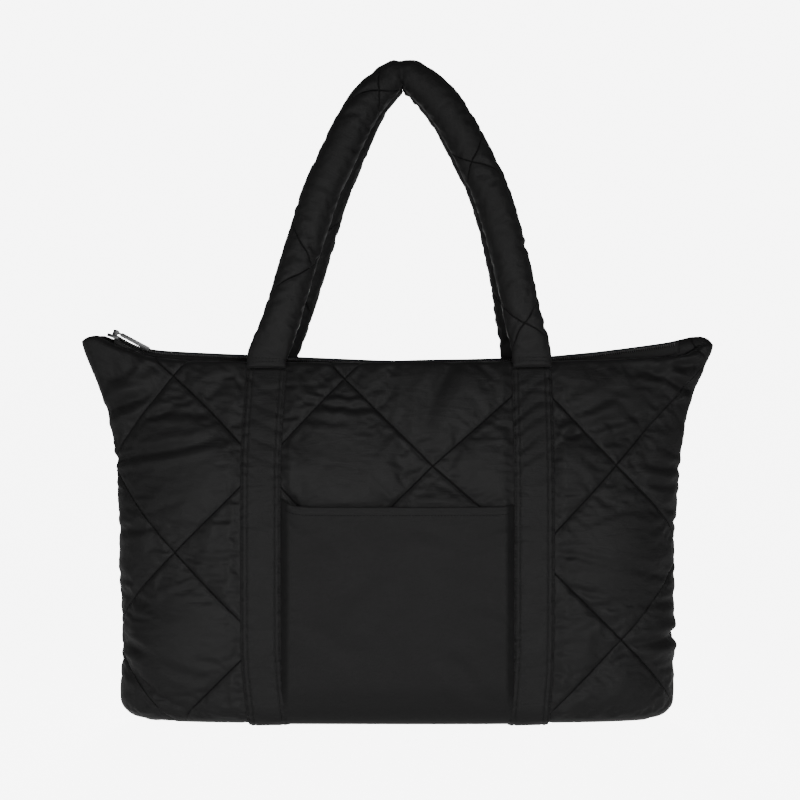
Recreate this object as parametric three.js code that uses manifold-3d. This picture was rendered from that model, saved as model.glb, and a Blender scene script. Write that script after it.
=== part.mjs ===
// A quilted puffer tote bag that stands open on its padded base.
// Millimetres: +X to the right of the front, +Y from the front to the back, +Z up.
// The origin is the middle of the base, on the surface that the bag stands on.
import * as THREE from "three";
import { mergeVertices } from "three/addons/utils/BufferGeometryUtils.js";
import Module from "manifold-3d";

const wasm = await Module();
wasm.setup();
const { clamp, lerp } = THREE.MathUtils;

// Body: two padded walls sewn together at the sides, and a padded base
const bodyWidth = 512; // seam to seam at the belly
const bodyDepth = 143; // front to back at the belly
const bodyHeight = 341; // floor to the middle of the front mouth edge
const mouthWidth = 599; // tip to tip
const mouthDepth = 72; // front to back at the middle of the open mouth
const tipRise = 26; // how far the tips stand above the middle of the mouth
const tipReach = 85; // how far down the wall that rise fades out
const wall = 6; // padded wall at the bottom of its quilting seams
const seamHalf = 4; // each wall's thickness where the two are sewn together
const footDepthRadius = 20; // rounding of the long bottom edges
const footSideRadius = 26; // rounding of the boxed bottom corners

// Quilting: square diamonds stood on their corners
const puff = 6.5; // how far a pillow stands out of its seams
const quiltPitch = 83; // half a diamond, across
const quiltDrop = 81.5; // half a diamond, up and down
const quiltShift = -8.5; // middle of the diamonds beside the middle of the bag
const quiltTop = 15; // mouth edge to the first crossing of the seams

// Bands: flat folded cloth, up the front, under the base and up the back
const bandWidth = 38;
const bandThickness = 2.5;
const bandSpacingFront = 256; // middle to middle
const bandSpacingBack = 240;
const bandDrop = 7; // mouth edge to the top end of a band

// Handles: padded tubes sewn over the tops of the bands
const handleWidth = 36;
const handleThickness = 30;
const handleFoot = 9; // thickness where the tube is sewn flat
const handleTop = 617; // middle of the tube at the top of the arch
const handleShift = 5; // the top of the arch leans this far to the right
const handlePuff = 1.6; // how far the tube swells between its quilting seams
const handleBetween = 4; // between the two tubes at the top

// Patch pocket between the bands
const pocketDrop = 136; // mouth edge to the pocket's mouth
const pocketWall = 1.6;
const pocketEase = 8; // how far the middle of its mouth stands off the pillows

// Zip, open, with its slider at the left end
const tapeHeight = 13;
const tapeThickness = 1.5;
const tapeDrop = 1.5; // mouth edge to the edge of the tape
const sliderLength = 14;
const sliderWidth = 9.5;
const sliderPlate = 2.8;
const pinRise = 6.5; // underside of the slider to the pin
const pinRadius = 0.8;
const earLength = 5;
const earThickness = 1.3;
const pullLength = 36;
const pullWidth = 6;
const pullThickness = 3.6;
const pullEye = 3.4; // width of its eye, between the ears
const eyeWall = 1;
const pullSlope = 28; // degrees that the pull hangs down towards the mouth

// Clearances
const seamGap = 0.3; // between the sewn walls
const layerGap = 0.4; // between cloth laid on cloth
const bandEase = 0.6; // between a band and the pillows beside it
const pinGap = 0.3; // round the slider's pin

const footHeight = bandThickness + layerGap; // the walls' foot is lifted by the bands under it

// The wall from its foot to the mouth, by share of the height above the foot. spread runs from
// the belly's width to the mouth's and gather from the belly's depth to the mouth's. flat and
// full are the exponents of the plan: a rounded box below, a lens at the mouth.
const profile = [
  { height: 0.0, spread: 0.0, gather: 0.0, flat: 4.0, full: 0.42 },
  { height: 0.34, spread: 0.0, gather: 0.0, flat: 4.0, full: 0.42 },
  { height: 0.5, spread: 0.05, gather: 0.05, flat: 3.8, full: 0.45 },
  { height: 0.61, spread: 0.09, gather: 0.12, flat: 3.5, full: 0.5 },
  { height: 0.71, spread: 0.16, gather: 0.23, flat: 3.2, full: 0.57 },
  { height: 0.83, spread: 0.34, gather: 0.47, flat: 2.7, full: 0.72 },
  { height: 0.9, spread: 0.58, gather: 0.66, flat: 2.4, full: 0.83 },
  { height: 0.96, spread: 0.87, gather: 0.86, flat: 2.1, full: 0.94 },
  { height: 1.0, spread: 1.0, gather: 1.0, flat: 2.0, full: 1.0 },
];

// Rise of the mouth edge, as a share of tipRise, by share of the half width
const mouthEdge = [
  { across: -1.0, front: 0.72, back: 0.72 },
  { across: -0.965, front: 1.0, back: 1.0 },
  { across: -0.93, front: 0.74, back: 0.85 },
  { across: -0.87, front: 0.46, back: 0.6 },
  { across: -0.78, front: 0.15, back: 0.4 },
  { across: -0.68, front: 0.06, back: 0.33 },
  { across: -0.47, front: 0.0, back: 0.22 },
  { across: 0.0, front: 0.0, back: 0.0 },
  { across: 0.47, front: 0.04, back: 0.15 },
  { across: 0.64, front: 0.06, back: 0.33 },
  { across: 0.76, front: 0.13, back: 0.5 },
  { across: 0.88, front: 0.17, back: 0.69 },
  { across: 0.94, front: 0.3, back: 0.86 },
  { across: 0.975, front: 0.7, back: 0.95 },
  { across: 1.0, front: 0.6, back: 0.6 },
];

// One leg of a handle. rise: share of the way from its foot to the top. span: share of its foot's
// distance from the middle. lean: share of the way from the wall to the middle of the bag.
// wide and deep: shares of the tube's width and thickness.
const handleLeg = [
  { rise: 0.075, span: 0.975, lean: 0.02, wide: 1.04, deep: 0.5 },
  { rise: 0.137, span: 0.929, lean: 0.1, wide: 1.0, deep: 0.82 },
  { rise: 0.26, span: 0.857, lean: 0.26, wide: 0.98, deep: 1.0 },
  { rise: 0.395, span: 0.778, lean: 0.45, wide: 0.98, deep: 1.0 },
  { rise: 0.593, span: 0.643, lean: 0.72, wide: 1.0, deep: 1.0 },
  { rise: 0.695, span: 0.548, lean: 0.82, wide: 1.0, deep: 1.0 },
  { rise: 0.793, span: 0.444, lean: 0.9, wide: 1.0, deep: 1.0 },
  { rise: 0.85, span: 0.376, lean: 0.94, wide: 0.99, deep: 1.0 },
  { rise: 0.914, span: 0.278, lean: 0.97, wide: 0.96, deep: 1.0 },
  { rise: 0.959, span: 0.171, lean: 0.99, wide: 0.9, deep: 1.0 },
  { rise: 0.9935, span: 0.063, lean: 1.0, wide: 0.84, deep: 1.0 },
];

// How far the pocket stands off the pillows, as a share of pocketEase: by share of its width from
// the middle to a band, times by share of its height from the bottom to its mouth
const pocketSlack = [
  { share: 0.0, across: 1.0, up: 0.08 },
  { share: 0.5, across: 0.92, up: 0.5 },
  { share: 0.8, across: 0.55, up: 0.85 },
  { share: 1.0, across: 0.0, up: 1.0 },
];

const cloth = { color: 0x1f1f1f, roughness: 0.62, metalness: 0 };
const bandCloth = { color: 0x1c1c1c, roughness: 0.7, metalness: 0 };
const tapeCloth = { color: 0x0e0e0e, roughness: 0.85, metalness: 0 };
const darkMetal = { color: 0x17181a, roughness: 0.32, metalness: 0.85 };

// The value of a named column between the rows of a table
function read(table, key, at, column) {
  const next = table.findIndex((row) => row[key] >= at);
  if (next === 0) return table[0][column];
  if (next < 0) return table[table.length - 1][column];
  const [low, high] = [table[next - 1], table[next]];
  return lerp(low[column], high[column], (at - low[key]) / (high[key] - low[key]));
}

// A closed geometry from points and triangles, turned so that its faces point out
function closed(points, faces) {
  const corners = faces.flat().map((k) => points[k]);
  const merged = mergeVertices(new THREE.BufferGeometry().setFromPoints(corners), 1e-4);
  const kept = [];
  for (let k = 0; k < merged.index.count; k += 3) {
    const face = [0, 1, 2].map((n) => merged.index.getX(k + n));
    if (new Set(face).size === 3) kept.push(face);
  }
  const at = (k) => new THREE.Vector3().fromBufferAttribute(merged.getAttribute("position"), k);
  const volume = kept.reduce((sum, [a, b, c]) => sum + at(a).dot(at(b).cross(at(c))), 0);
  merged.setIndex(kept.flatMap((face) => (volume < 0 ? face.reverse() : face)));
  merged.computeVertexNormals();
  return merged;
}

// Cloth between two grids of points: rows of equal length, outside and inside. turned says which
// way a cell is split into its two triangles.
function slab(outer, inner, turned = () => false) {
  const rows = outer.length;
  const columns = outer[0].length;
  const far = rows * columns;
  const at = (r, c) => r * columns + c;
  const faces = [];
  const quad = (a, b, c, d, turn) =>
    faces.push(...(turn ? [[a, b, d], [b, c, d]] : [[a, b, c], [a, c, d]]));
  for (let r = 0; r < rows - 1; r++)
    for (let c = 0; c < columns - 1; c++) {
      const cell = [at(r, c), at(r, c + 1), at(r + 1, c + 1), at(r + 1, c)];
      const [p, q, s, t] = cell;
      quad(p, q, s, t, turned(r, c));
      quad(far + p, far + t, far + s, far + q, turned(r, c));
    }
  const border = [];
  for (let c = 0; c < columns - 1; c++) border.push(at(0, c));
  for (let r = 0; r < rows - 1; r++) border.push(at(r, columns - 1));
  for (let c = columns - 1; c > 0; c--) border.push(at(rows - 1, c));
  for (let r = rows - 1; r > 0; r--) border.push(at(r, 0));
  border.forEach((p, k) => {
    const q = border[(k + 1) % border.length];
    quad(q, p, far + p, far + q, false);
  });
  return closed([...outer.flat(), ...inner.flat()], faces);
}

// A closed tube through rings of points
function loft(rings) {
  const sides = rings[0].length;
  const last = rings.length - 1;
  const points = rings.flat();
  const middles = [rings[0], rings[last]].map((ring) =>
    ring.reduce((sum, p) => sum.add(p), new THREE.Vector3()).divideScalar(sides),
  );
  const faces = [];
  for (let r = 0; r < last; r++)
    for (let k = 0; k < sides; k++) {
      const [a, b] = [r * sides + k, r * sides + ((k + 1) % sides)];
      faces.push([a, b, b + sides], [a, b + sides, a + sides]);
    }
  const start = points.push(...middles) - 2;
  for (let k = 0; k < sides; k++) {
    const next = (k + 1) % sides;
    faces.push([start, next, k], [start + 1, last * sides + k, last * sides + next]);
  }
  return closed(points, faces);
}

function toSolid(geometry) {
  const bare = geometry.clone().deleteAttribute("normal").deleteAttribute("uv");
  const merged = mergeVertices(bare, 1e-4);
  return new wasm.Manifold(
    new wasm.Mesh({
      numProp: 3,
      vertProperties: merged.getAttribute("position").array,
      triVerts: new Uint32Array(merged.index.array),
    }),
  );
}

function toGeometry(solid) {
  const { vertProperties, triVerts } = solid.getMesh();
  return new THREE.BufferGeometry()
    .setAttribute("position", new THREE.BufferAttribute(vertProperties, 3))
    .setIndex(new THREE.BufferAttribute(triVerts, 1));
}

// How far a rounded bottom edge of the given radius has drawn in at height z
function drawnIn(z, radius) {
  const below = clamp(radius - (z - footHeight), 0, radius);
  return radius - Math.sqrt(radius ** 2 - below ** 2);
}

// The plan of the body at height z, thinner by inset all round: a curve from the middle of one
// side to the seam, with its length
const outlineSteps = 72;
function outline(z, inset, edge) {
  const share = clamp((z - footHeight) / (bodyHeight - footHeight), 0, 1);
  const pick = (column) => read(profile, "height", share, column);
  const width =
    lerp(bodyWidth, mouthWidth, pick("spread")) / 2 - drawnIn(z, footSideRadius) - inset;
  const depth =
    lerp(bodyDepth, mouthDepth, pick("gather")) / 2 - drawnIn(z, footDepthRadius) - inset;
  const [flat, full] = [pick("flat"), pick("full")];
  const points = [];
  let length = 0;
  for (let k = 0; k <= outlineSteps; k++) {
    const across = Math.sin((k / outlineSteps) * (Math.PI / 2));
    const x = width * across;
    const y = edge + (depth - edge) * Math.max(0, 1 - across ** flat) ** full;
    if (k) length += Math.hypot(x - points[k - 1].x, y - points[k - 1].y);
    points.push({ x, y, length });
  }
  const at = (arc) => {
    const far = Math.min(Math.abs(arc), length);
    return {
      x: Math.sign(arc) * read(points, "length", far, "x"),
      y: read(points, "length", far, "y"),
    };
  };
  return { width, length, at };
}

// Rise of the mouth edge at x, fading out down the wall
function rise(side, across, z) {
  const fade = clamp(1 - (bodyHeight - z) / tipReach, 0, 1) ** 1.5;
  const column = side < 0 ? "front" : "back";
  return tipRise * fade * read(mouthEdge, "across", clamp(across, -1, 1), column);
}

// side is -1 for the front wall and 1 for the back wall. arc is measured round the wall from its
// middle, z is the height before the mouth edge's rise.
function skin(side, arc, z) {
  const plan = outline(z, 0, seamHalf);
  const { x, y } = plan.at(arc);
  return new THREE.Vector3(x, side * y, z + rise(side, x / plan.width, z));
}

const step = 0.5;
function outward(side, arc, z) {
  if (z <= footHeight) return new THREE.Vector3(0, 0, -1);
  const lengthAt = (height) => outline(height, 0, seamHalf).length;
  const length = lengthAt(z);
  const [low, high] = [Math.max(z - step, footHeight), Math.min(z + step, bodyHeight)];
  const along = skin(side, Math.min(arc + step, length), z).sub(
    skin(side, Math.max(arc - step, -length), z),
  );
  const up = skin(side, (arc * lengthAt(high)) / length, high).sub(
    skin(side, (arc * lengthAt(low)) / length, low),
  );
  return along.cross(up).normalize().multiplyScalar(-side);
}

const bandMiddle = (side) => (side < 0 ? bandSpacingFront : bandSpacingBack) / 2;

// Where the quilting's columns of crossings lie round the wall
function quiltColumns(side, length) {
  const band = bandMiddle(side);
  return [
    { column: -3, arc: -length },
    { column: -2, arc: -(band + length) / 2 },
    { column: -1, arc: -band },
    { column: 0, arc: quiltShift - quiltPitch / 2 },
    { column: 1, arc: quiltShift + quiltPitch / 2 },
    { column: 2, arc: band },
    { column: 3, arc: (band + length) / 2 },
    { column: 4, arc: length },
  ];
}

const quiltRow = (z) => (bodyHeight - quiltTop - z) / quiltDrop;

// Height of a pillow over its seams, 0 to 1
function pillow(column, row) {
  const across = Math.abs(Math.sin((Math.PI * (column + row)) / 2));
  const down = Math.abs(Math.sin((Math.PI * (column - row)) / 2));
  return Math.sqrt(across * down);
}

// The wall's columns: four to each half diamond, the edges of the bands and the tips' corners
const cells = 4;
const tipCorner = 0.965; // share of the way from the middle of the wall to a seam
const bandHalf = bandWidth / 2 + bandEase;
function wallColumns(side, length) {
  const knots = quiltColumns(side, length);
  const arcs = [];
  for (let k = -3 * cells; k <= 4 * cells; k++) {
    const fromBand = Math.min(Math.abs(k + cells), Math.abs(k - 2 * cells));
    if (fromBand !== 1) arcs.push(read(knots, "column", k / cells, "arc"));
  }
  for (const middle of [-bandMiddle(side), bandMiddle(side)])
    arcs.push(middle - bandHalf, middle + bandHalf);
  arcs.push(-tipCorner * length, tipCorner * length);
  return arcs.sort((a, b) => a - b);
}

// The wall's rows, from the mouth to the foot
const footRounding = [60, 30, 0]; // degrees round the bottom edge
const rowHeights = [bodyHeight];
const footTop = footHeight + footDepthRadius;
for (let k = 0; quiltRow(footTop + quiltDrop / cells / 2) > k / cells; k++)
  rowHeights.push(bodyHeight - quiltTop - (k / cells) * quiltDrop);
rowHeights.push(footTop);
for (const angle of footRounding)
  rowHeights.push(
    footHeight + footDepthRadius * (1 - Math.cos(THREE.MathUtils.degToRad(angle))),
  );

const touching = 1e-3;
const underBand = (side, arc) =>
  Math.abs(Math.abs(arc) - bandMiddle(side)) <= bandHalf + touching;

const footFade = (z) => clamp((z - footHeight) / (2 * footDepthRadius), 0, 1);

// How far the wall's face stands out of its seams
function pillowHeight(side, arc, z) {
  const { length } = outline(z, 0, seamHalf);
  if (underBand(side, arc) || Math.abs(arc) >= length - touching || z >= bodyHeight) return 0;
  const column = read(quiltColumns(side, length), "arc", arc, "column");
  return puff * footFade(z) * pillow(column, quiltRow(z));
}

// Cells are split along the quilting seam that lies nearest
function alongSeam(side, heights, arcsAt) {
  return (r, c) => {
    const z = (heights[r] + heights[r + 1]) / 2;
    const { length } = outline(z, 0, seamHalf);
    const arcs = arcsAt(z);
    const middle = (arcs[c] + arcs[c + 1]) / 2;
    const column = read(quiltColumns(side, length), "arc", middle, "column");
    const off = (value) => Math.abs(value / 2 - Math.round(value / 2));
    return off(column + quiltRow(z)) < off(column - quiltRow(z));
  };
}

const lengthOf = (z) => outline(z, 0, seamHalf).length;
const wallArcs = (side) => (z) => wallColumns(side, lengthOf(z));

// The grids of one wall: its face with the pillows, and its lining
function wallGrids(side) {
  const face = [];
  const lining = [];
  const lift = (bodyHeight - footHeight - wall) / (bodyHeight - footHeight);
  for (const z of rowHeights) {
    const arcs = wallArcs(side)(z);
    const length = lengthOf(z);
    const plan = outline(z, wall, seamGap / 2);
    const faceRow = arcs.map((arc) =>
      skin(side, arc, z).addScaledVector(outward(side, arc, z), pillowHeight(side, arc, z)),
    );
    const liningRow = arcs.map((arc) => {
      const { x, y } = plan.at((arc / length) * plan.length);
      const height = footHeight + wall + (z - footHeight) * lift;
      return new THREE.Vector3(x, side * y, height + rise(side, x / plan.width, z));
    });
    const atFoot = z <= footHeight;
    const shown = atFoot
      ? arcs.map((arc) => skin(side, arc, z).add(new THREE.Vector3(0, 0, wall)))
      : liningRow;
    const sewn = (row) => {
      const ends = [row[0], row[row.length - 1]].map((p) => p.clone().setY((side * seamGap) / 2));
      return [ends[0], ...row, ends[1]];
    };
    face.push(sewn(faceRow));
    lining.push(sewn(shown));
  }
  return { face, lining };
}

function wallPanel(side, { face, lining }) {
  const split = alongSeam(side, rowHeights, wallArcs(side));
  const last = face[0].length - 2;
  return slab(face, lining, (r, c) => c > 0 && c < last && split(r, c - 1));
}

// The foot line of a wall, drawn in by the given amount
function footLine(side, inset, arcs) {
  const near = footHeight + step;
  return arcs.map((arc) => {
    const flat = outward(side, arc, near).setZ(0).normalize();
    return skin(side, arc, footHeight).addScaledVector(flat, -inset);
  });
}

// Base: flat on the floor between the bands, raised over them and at its edge
const baseRows = [0, 0.12, 0.33, 0.5, 0.67, 0.88, 1];
function basePanel() {
  const footArcs = (side) => wallArcs(side)(footHeight);
  const front = footLine(-1, layerGap, footArcs(-1));
  const back = footLine(1, layerGap, footArcs(1));
  const last = front.length - 1;
  const raised = footArcs(-1).map((arc, c) => underBand(-1, arc) || c === 0 || c === last);
  const under = baseRows.map((share, r) =>
    front.map((p, c) => {
      const lifted = raised[c] || r === 0 || r === baseRows.length - 1;
      return p.clone().lerp(back[c], share).setZ(lifted ? footHeight : 0);
    }),
  );
  const top = under.map((row) => row.map((p) => p.clone().setZ(footHeight + wall)));
  return slab(under, top);
}

// One band: rows of three points from the front mouth, under the base, to the back mouth
const bandTop = bodyHeight - bandDrop;
function bandPath(hand) {
  const across = [-1, 0, 1];
  const onWall = (side, z) =>
    across.map((u) => {
      const arc = hand * bandMiddle(side) + (u * bandWidth) / 2;
      return { point: skin(side, arc, z), normal: outward(side, arc, z) };
    });
  const heights = [bandTop, ...rowHeights.filter((z) => z < bandTop - 1)];
  const [front, back] = [-1, 1].map((side) => heights.map((z) => onWall(side, z)));
  const [start, end] = [front[front.length - 1], back[back.length - 1]];
  const underneath = baseRows.slice(1, -1).map((share) =>
    start.map(({ point, normal }, k) => ({
      point: point.clone().lerp(end[k].point, share),
      normal: normal.clone(),
    })),
  );
  return [...front, ...underneath, ...back.reverse()];
}

function band(hand) {
  const path = bandPath(hand);
  const layer = (offset) =>
    path.map((row) => row.map(({ point, normal }) => point.clone().addScaledVector(normal, offset)));
  return slab(layer(layerGap + bandThickness), layer(layerGap));
}

// The middle line of a handle, from its left foot over the top to its right foot
const legSteps = 23;
const handleSides = 10;
const handlePillows = 8.5; // quilting seams cross the tube this many times
const sewnRise = 0.12; // share of the leg over which it turns away from the wall
const sewnEnd = 1 / 12; // share of the tube at each end that has no pillows
// Where a handle is sewn over a band: the point on the wall, and the wall's directions there
function sewnFoot(side, hand) {
  const arc = hand * bandMiddle(side);
  const across = skin(side, arc + bandWidth / 2, bandTop)
    .sub(skin(side, arc - bandWidth / 2, bandTop))
    .normalize();
  const normal = outward(side, arc, bandTop).projectOnPlane(across).normalize();
  const up = normal.clone().cross(across).multiplyScalar(-side);
  return { point: skin(side, arc, bandTop), normal, up };
}

function handleCurve(side) {
  const topDepth = (side * (handleThickness + handleBetween)) / 2;
  const leg = (hand) => {
    const { point, normal, up } = sewnFoot(side, hand);
    const foot = point
      .addScaledVector(normal, layerGap + handleFoot / 2)
      .addScaledVector(up, layerGap);
    const above = foot
      .clone()
      .addScaledVector(up, bandDrop + handleFoot / 2)
      .addScaledVector(normal, 2 * layerGap);
    const rows = handleLeg.map((row) => {
      const x = hand * Math.abs(foot.x) * row.span + handleShift * row.rise;
      return new THREE.Vector3(
        x,
        lerp(above.y, topDepth, row.lean),
        lerp(foot.z, handleTop, row.rise),
      );
    });
    return [foot, above, ...rows];
  };
  const top = new THREE.Vector3(handleShift, topDepth, handleTop);
  const points = [...leg(-1), top, ...leg(1).reverse()];
  return new THREE.CatmullRomCurve3(points, false, "centripetal");
}

function handle(side) {
  const curve = handleCurve(side);
  const count = 2 * legSteps;
  const footZ = curve.getPointAt(0).z;
  const rings = [];
  for (let k = 0; k <= count; k++) {
    const along = k / count;
    const centre = curve.getPointAt(along);
    const tangent = curve.getTangentAt(along);
    const { normal, up } = sewnFoot(side, along < 0.5 ? -1 : 1);
    if (k === 0) tangent.copy(up);
    if (k === count) tangent.copy(up).negate();
    const risen = clamp((centre.z - footZ) / (handleTop - footZ), 0, 1);
    const deepAxis = normal
      .lerp(new THREE.Vector3(0, side, 0), clamp(risen / sewnRise, 0, 1))
      .projectOnPlane(tangent)
      .normalize();
    const wideAxis = new THREE.Vector3().crossVectors(tangent, deepAxis);
    const foot = { rise: 0, wide: (bandWidth - 1) / handleWidth, deep: handleFoot / handleThickness };
    const table = [foot, ...handleLeg];
    const swell = handlePuff * Math.abs(Math.sin(Math.PI * handlePillows * along)) - handlePuff;
    const ends = clamp(Math.min(along, 1 - along) / sewnEnd, 0, 1);
    const wide = (read(table, "rise", risen, "wide") * handleWidth) / 2 + swell * ends;
    const deep = (read(table, "rise", risen, "deep") * handleThickness) / 2 + swell * ends;
    const ring = [];
    for (let n = 0; n < handleSides; n++) {
      const turn = ((n + 0.5) / handleSides) * 2 * Math.PI;
      ring.push(
        centre
          .clone()
          .addScaledVector(wideAxis, wide * Math.cos(turn))
          .addScaledVector(deepAxis, deep * Math.sin(turn)),
      );
    }
    rings.push(ring);
  }
  return loft(rings);
}

// Pocket: its sides lie down beside the bands and its middle stands off the pillows
function pocket() {
  const side = -1;
  const heights = rowHeights.filter((z) => z < bodyHeight - pocketDrop && z > footHeight);
  const half = bandMiddle(side) - bandHalf;
  const inside = (z) => wallArcs(side)(z).filter((arc) => Math.abs(arc) < half + touching);
  const arcs = inside(heights[0]);
  const [bottom, top] = [heights[heights.length - 1], heights[0]];
  const offset = (arc, z) => {
    const across = Math.abs(arc) / half;
    if (across > 1 - touching) return layerGap;
    const slack =
      read(pocketSlack, "share", across, "across") *
      read(pocketSlack, "share", (z - bottom) / (top - bottom), "up");
    return layerGap + (puff + pocketEase * slack) * footFade(z);
  };
  const layer = (extra) =>
    heights.map((z) =>
      arcs.map((arc) =>
        skin(side, arc, z).addScaledVector(outward(side, arc, z), offset(arc, z) + extra),
      ),
    );
  return slab(layer(pocketWall), layer(0), alongSeam(side, heights, inside));
}

// The zip is closed where the lining's half width is less than this
const closest = 2 * (layerGap + tapeThickness);

// Half of the zip: a tape along the lining, just below the mouth edge
function tape(side, { lining }) {
  const [rim, below] = [lining[0].slice(1, -1), lining[1].slice(1, -1)];
  const inward = new THREE.Vector3(0, -side, 0);
  const halfOpen = (c) => Math.min(Math.abs(rim[c].y), Math.abs(below[c].y));
  const run = rim.map((p, c) => c).filter((c) => halfOpen(c) > closest);
  const layer = (offset) =>
    [tapeDrop, tapeDrop + tapeHeight / 2, tapeDrop + tapeHeight].map((drop) =>
      run.map((c) => {
        const share = drop / (rim[c].z - below[c].z);
        return rim[c].clone().lerp(below[c], share).addScaledVector(inward, offset);
      }),
    );
  return slab(layer(layerGap + tapeThickness), layer(layerGap));
}

// Slider: a plate with two ears and a pin between them, in its own frame: underside at z 0
function slider() {
  const shape = new THREE.Shape();
  const [long, wide] = [sliderLength / 2, sliderWidth / 2];
  const [waist, shoulder, nose] = [-0.3 * long, 0.55 * long, 0.8 * wide];
  const tail = 0.55 * wide;
  shape.moveTo(-long, -tail);
  shape.quadraticCurveTo(waist, -wide, shoulder, -wide);
  shape.quadraticCurveTo(long, -nose, long, 0);
  shape.quadraticCurveTo(long, nose, shoulder, wide);
  shape.quadraticCurveTo(waist, wide, -long, tail);
  shape.closePath();
  const plate = toSolid(
    new THREE.ExtrudeGeometry(shape, { depth: sliderPlate, bevelEnabled: false, curveSegments: 4 }),
  );
  const earRise = pinRise + 2 * pinRadius - sliderPlate / 2;
  const middle = (pullEye + earThickness) / 2 + pinGap;
  const ears = [-1, 1].map((hand) =>
    toSolid(
      new THREE.BoxGeometry(earLength, earThickness, earRise).translate(
        0,
        hand * middle,
        sliderPlate / 2 + earRise / 2,
      ),
    ),
  );
  const pin = toSolid(
    new THREE.CylinderGeometry(pinRadius, pinRadius, 2 * middle, 8).translate(0, 0, pinRise),
  );
  return toGeometry(plate.add(ears[0]).add(ears[1]).add(pin));
}

// Pull: a flat tab with an eye round the pin, in the pin's frame, along +X
function pull() {
  const hole = pinRadius + pinGap;
  const radius = hole + eyeWall;
  const eyeShape = new THREE.Shape();
  eyeShape.absarc(0, 0, radius, 0, 2 * Math.PI);
  const opening = new THREE.Path();
  opening.absarc(0, 0, hole, 0, 2 * Math.PI, true);
  eyeShape.holes.push(opening);
  const upright = (shape, width) =>
    new THREE.ExtrudeGeometry(shape, { depth: width, bevelEnabled: false, curveSegments: 6 })
      .translate(0, 0, -width / 2)
      .rotateX(Math.PI / 2);
  const neckEnd = earLength / 2 + 3 * pinGap + pullThickness / 2;
  const neck = new THREE.Shape();
  neck.moveTo(hole + eyeWall / 2, -eyeWall);
  neck.lineTo(neckEnd + 1, -eyeWall);
  neck.lineTo(neckEnd + 1, eyeWall);
  neck.lineTo(hole + eyeWall / 2, eyeWall);
  neck.closePath();
  const [half, chamfer] = [pullThickness / 2, pullThickness / 5];
  const tab = new THREE.Shape();
  tab.moveTo(neckEnd, -half + chamfer);
  tab.lineTo(neckEnd + chamfer, -half);
  tab.lineTo(pullLength - chamfer, -half);
  tab.lineTo(pullLength, -half + chamfer);
  tab.lineTo(pullLength, half - chamfer);
  tab.lineTo(pullLength - chamfer, half);
  tab.lineTo(neckEnd + chamfer, half);
  tab.lineTo(neckEnd, half - chamfer);
  tab.closePath();
  const parts = [upright(eyeShape, pullEye), upright(neck, pullEye), upright(tab, pullWidth)];
  const [eye, bar, end] = parts.map(toSolid);
  return toGeometry(eye.add(bar).add(end));
}

// Where the slider sits: on both mouth edges, at the left end of the tapes
function sliderSeat(front, back) {
  const edges = [front, back].flatMap(({ face, lining }) => [face[0], lining[0]]);
  const top = (x) => Math.max(...edges.map((edge) => read(edge, "x", x, "z")));
  const start = front.lining[0].find((p) => Math.abs(p.y) > closest).x;
  const [low, high] = [start - sliderLength / 2, start + sliderLength / 2];
  const slope = Math.atan2(top(low) - top(high), sliderLength);
  const samples = [0, 0.25, 0.5, 0.75, 1].map((share) => lerp(low, high, share));
  const lift = Math.max(...samples.map((x) => top(x) + (x - start) * Math.tan(slope)));
  return { x: start, z: lift + layerGap, slope };
}

const bag = new THREE.Group();
function piece(name, geometry, finish, parent = bag) {
  const mesh = new THREE.Mesh(geometry, new THREE.MeshStandardMaterial(finish));
  mesh.name = name;
  parent.add(mesh);
  return mesh;
}

const frontWall = wallGrids(-1);
const backWall = wallGrids(1);
piece("front_panel", wallPanel(-1, frontWall), cloth);
piece("back_panel", wallPanel(1, backWall), cloth);
piece("base_panel", basePanel(), cloth);
piece("strap_band_left", band(-1), bandCloth);
piece("strap_band_right", band(1), bandCloth);
piece("handle_front", handle(-1), cloth);
piece("handle_back", handle(1), cloth);
piece("front_pocket", pocket(), cloth);
piece("zip_tape_front", tape(-1, frontWall), tapeCloth);
piece("zip_tape_back", tape(1, backWall), tapeCloth);

const seat = sliderSeat(frontWall, backWall);
const zipHead = new THREE.Group();
zipHead.position.set(seat.x, 0, seat.z);
zipHead.rotation.y = seat.slope;
bag.add(zipHead);
piece("zip_slider", slider(), darkMetal, zipHead);
const zipPull = piece("zip_pull", pull(), darkMetal, zipHead);
zipPull.position.z = pinRise;
zipPull.rotation.y = THREE.MathUtils.degToRad(pullSlope) - seat.slope;

export default bag;
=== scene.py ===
"""A quilted puffer tote bag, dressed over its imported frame. Metres, +Z up, its front looks along -Y."""

import math

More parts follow.
